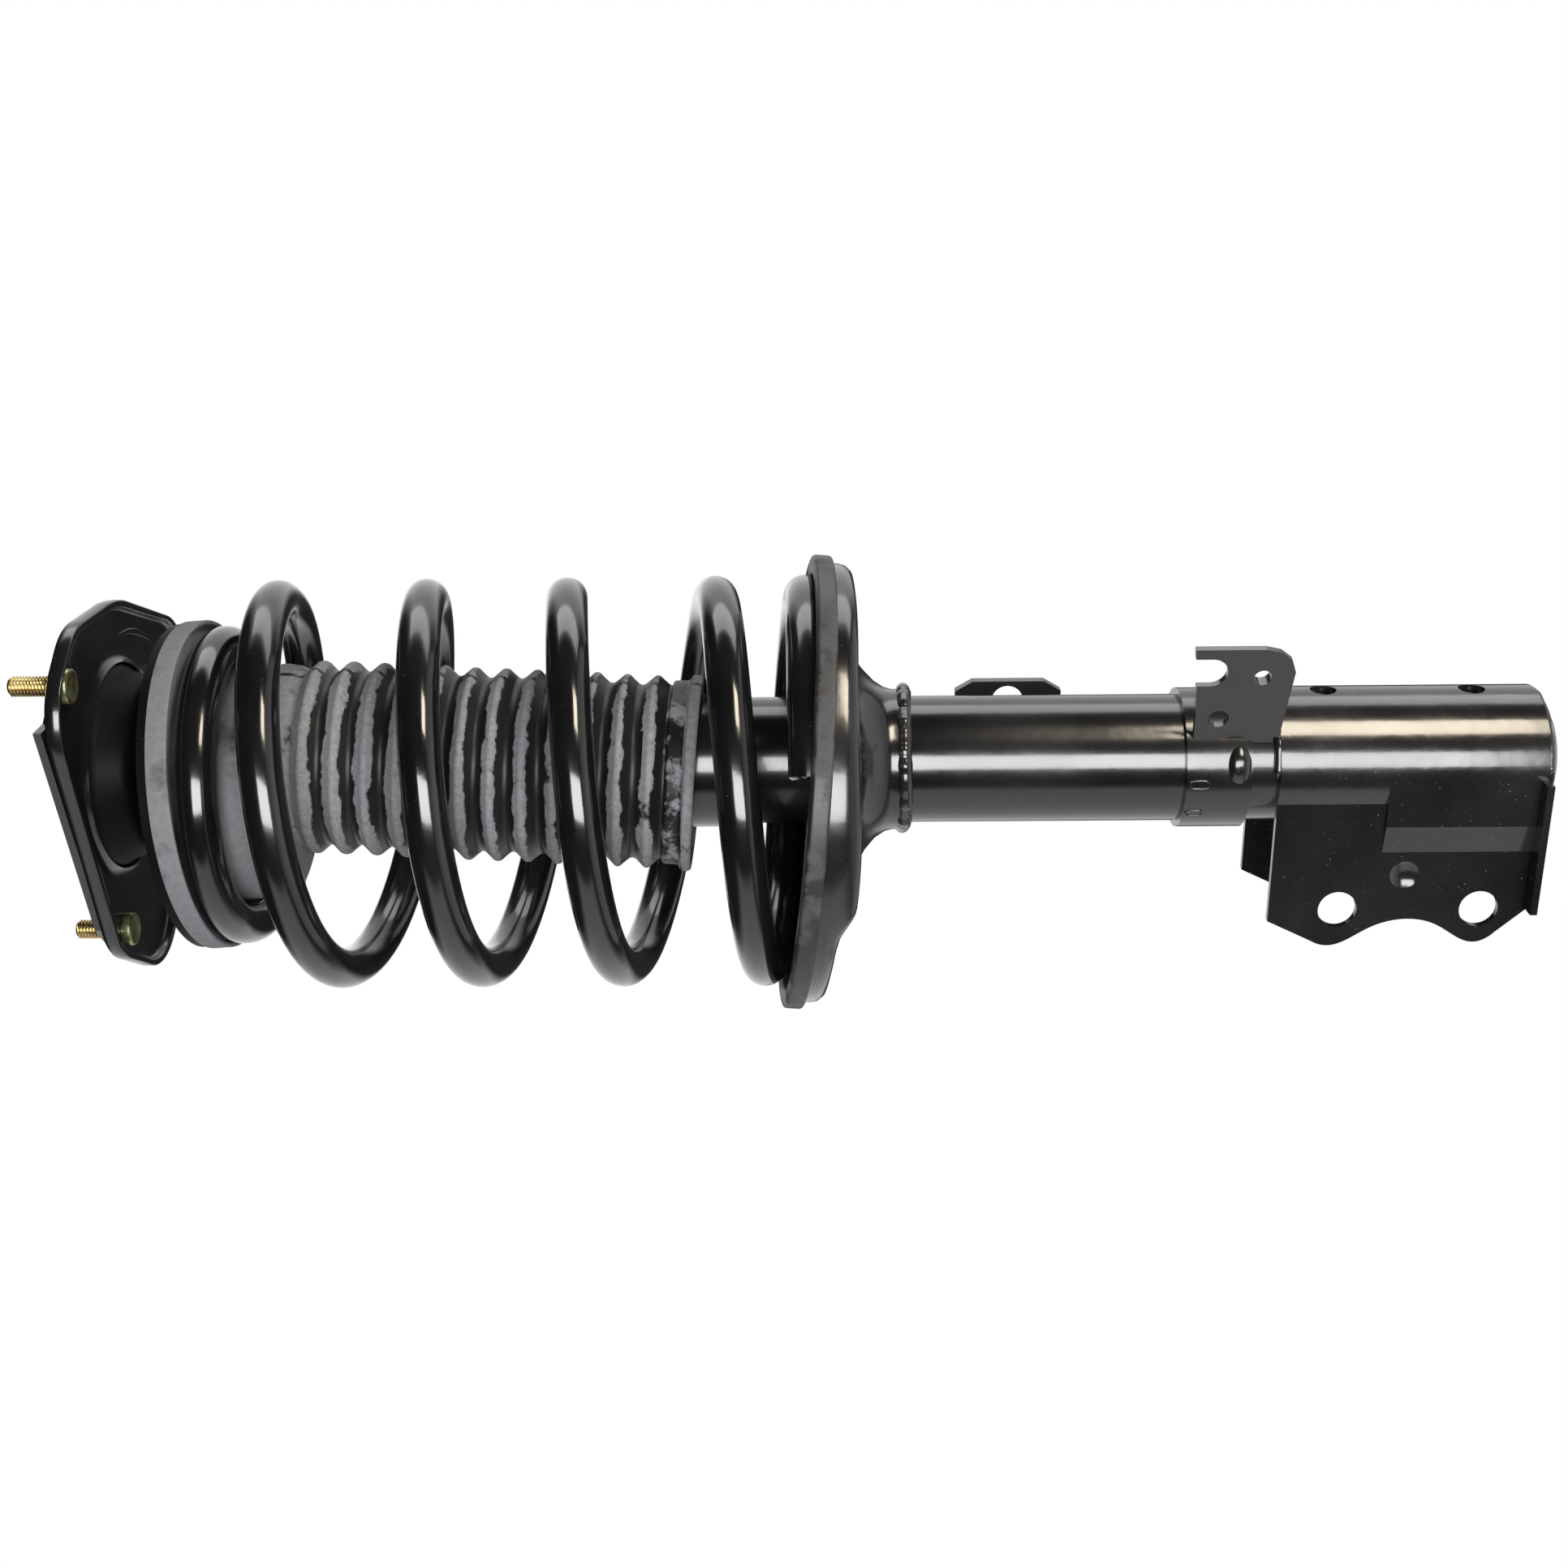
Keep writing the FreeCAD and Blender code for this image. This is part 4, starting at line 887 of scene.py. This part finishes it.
# ------------------------------------------------------------------ eased edges on the CAD stampings
EDGE_WIDTHS = {
    "reinforcement_plate": 0.5, "upper_spring_seat": 0.5, "hose_band": 0.3, "hose_plate": 0.35,
    "knuckle_bracket": 0.45, "stabilizer_link_tab": 0.5, "striker_cap": 0.3, "outer_tube": 0.3,
    "base_cap": 0.4, "rod_nut": 0.3, "piston_nut": 0.3,
}
EDGE_ANGLE = math.radians(40)
for node, width in EDGE_WIDTHS.items():
    ease_edges = frame["nodes"][node].modifiers.new("eased", "BEVEL")
    ease_edges.width = width * MM
    ease_edges.segments = 2
    ease_edges.limit_method = "ANGLE"
    ease_edges.angle_limit = EDGE_ANGLE
    ease_edges.harden_normals = True

# ------------------------------------------------------------------ floor, light and camera
floor_mesh = bpy.data.meshes.new("floor")
FLOOR_LEVEL = -1.9
FLOOR_RADIUS = 1.9
FLOOR_STEPS = 96
floor_turns = [2 * math.pi * step / FLOOR_STEPS for step in range(FLOOR_STEPS)]
floor_rim = [(FLOOR_RADIUS * math.cos(turn), FLOOR_RADIUS * math.sin(turn), FLOOR_LEVEL)
             for turn in floor_turns]
floor_mesh.from_pydata(floor_rim, [], [tuple(range(FLOOR_STEPS))])
floor = bpy.data.objects.new("floor", floor_mesh)
bpy.context.scene.collection.objects.link(floor)
floor_material = material_base("pale_floor")[0]
floor_shader = floor_material.node_tree.nodes["Principled BSDF"]
floor_shader.inputs["Base Color"].default_value = (0.9, 0.9, 0.9, 1)
floor_shader.inputs["Roughness"].default_value = 0.9
floor_shader.inputs["Specular IOR Level"].default_value = 0.0
floor_shader.inputs["Emission Color"].default_value = (1, 1, 1, 1)
floor_shader.inputs["Emission Strength"].default_value = 0.32
floor_mesh.materials.append(floor_material)

# a white studio with a dark card towards the viewer, one behind, and dark ends above and below
DARK_CARD = around(16.0, 1.0)
DARK_CARD_STOPS = [(0.22, 1.0), (0.36, 0.012)]
BACK_CARD = (Vector((0, 0, -0.34)) - TO_VIEWER * 0.94).normalized()
BACK_CARD_STOPS = [(0.88, 1.0), (0.95, 0.04)]
DARK_END_STOPS = [(0.42, 1.0), (0.62, 0.02)]
world = bpy.data.worlds.new("studio")
bpy.context.scene.world = world
world.use_nodes = True
nodes, links = world.node_tree.nodes, world.node_tree.links
nodes.clear()
heading = nodes.new("ShaderNodeTexCoord")
facing = nodes.new("ShaderNodeVectorMath")
facing.operation = "DOT_PRODUCT"
facing.inputs[1].default_value = DARK_CARD
links.new(heading.outputs["Generated"], facing.inputs[0])
shade = ramp_node(nodes, links, facing.outputs["Value"], DARK_CARD_STOPS)
behind = nodes.new("ShaderNodeVectorMath")
behind.operation = "DOT_PRODUCT"
behind.inputs[1].default_value = BACK_CARD
links.new(heading.outputs["Generated"], behind.inputs[0])
backdrop = ramp_node(nodes, links, behind.outputs["Value"], BACK_CARD_STOPS)
parts = nodes.new("ShaderNodeSeparateXYZ")
links.new(heading.outputs["Generated"], parts.inputs["Vector"])
along = nodes.new("ShaderNodeMath")
along.operation = "ABSOLUTE"
links.new(parts.outputs["Z"], along.inputs[0])
ends = ramp_node(nodes, links, along.outputs["Value"], DARK_END_STOPS)


def multiplied(first, second):
    """The product of two colours."""
    node = nodes.new("ShaderNodeMix")
    node.data_type = "RGBA"
    node.blend_type = "MULTIPLY"
    node.inputs["Factor"].default_value = 1.0
    links.new(first, node.inputs["A"])
    links.new(second, node.inputs["B"])
    return node.outputs["Result"]


around_strut = multiplied(shade.outputs["Color"], ends.outputs["Color"])
dimmed = multiplied(around_strut, backdrop.outputs["Color"])
studio = nodes.new("ShaderNodeBackground")
links.new(dimmed, studio.inputs["Color"])
studio.inputs["Strength"].default_value = 1.0
plain = nodes.new("ShaderNodeBackground")
plain.inputs["Color"].default_value = (1, 1, 1, 1)
plain.inputs["Strength"].default_value = 1.0
path = nodes.new("ShaderNodeLightPath")
choose = nodes.new("ShaderNodeMixShader")
links.new(path.outputs["Is Camera Ray"], choose.inputs["Fac"])
links.new(studio.outputs["Background"], choose.inputs[1])
links.new(plain.outputs["Background"], choose.inputs[2])
sky = nodes.new("ShaderNodeOutputWorld")
links.new(choose.outputs["Shader"], sky.inputs["Surface"])


def softbox(name, angle, distance, level, length, width, power, colour=(1, 1, 1)):
    """A strip light along the strut, at an angle round it, shining at its axis."""
    light = bpy.data.lights.new(name, "AREA")
    light.shape = "RECTANGLE"
    light.size = width
    light.size_y = length
    light.energy = power
    light.color = colour
    lamp = bpy.data.objects.new(name, light)
    bpy.context.scene.collection.objects.link(lamp)
    spot = around(angle, distance)
    outward = spot.normalized()
    across = UP.cross(outward)
    lamp.matrix_world = Matrix((
        (across.x, UP.x, outward.x, spot.x), (across.y, UP.y, outward.y, spot.y),
        (across.z, UP.z, outward.z, level), (0, 0, 0, 1)))


softbox("key_strip", -8.0, 1.3, -0.46, 1.15, 0.56, 29.0)
softbox("warm_strip", 44.0, 1.0, -0.78, 0.34, 0.42, 8.5, (1.0, 0.89, 0.70))
softbox("top_fill", 100.0, 1.2, -0.30, 1.6, 0.5, 6.0)
softbox("back_fill", 178.0, 1.5, 0.35, 0.8, 1.0, 0.7)

LENS = 44.7503
LENS_DISTANCE = 0.790
STAND_LEVEL = -0.2889
AIM_LEVEL = -0.2767
BELOW_AXIS = PICTURE_UP * -0.0098
RISE = math.radians(0.42)
camera_data = bpy.data.cameras.new("camera")
camera_data.sensor_width = 36.0
camera_data.lens = LENS
camera_data.clip_start = 0.01
camera = bpy.data.objects.new("camera", camera_data)
bpy.context.scene.collection.objects.link(camera)
stand = TO_VIEWER * LENS_DISTANCE + BELOW_AXIS + UP * STAND_LEVEL
aim = BELOW_AXIS + UP * AIM_LEVEL
backward = (stand - aim).normalized()
right = -UP * math.cos(RISE) - PICTURE_UP * math.sin(RISE)
right = (right - backward * right.dot(backward)).normalized()
upward = backward.cross(right)
camera.matrix_world = Matrix((
    (right.x, upward.x, backward.x, stand.x), (right.y, upward.y, backward.y, stand.y),
    (right.z, upward.z, backward.z, stand.z), (0, 0, 0, 1)))
bpy.context.scene.camera = camera
bpy.context.scene.view_settings.view_transform = "Standard"

bpy.context.view_layer.update()
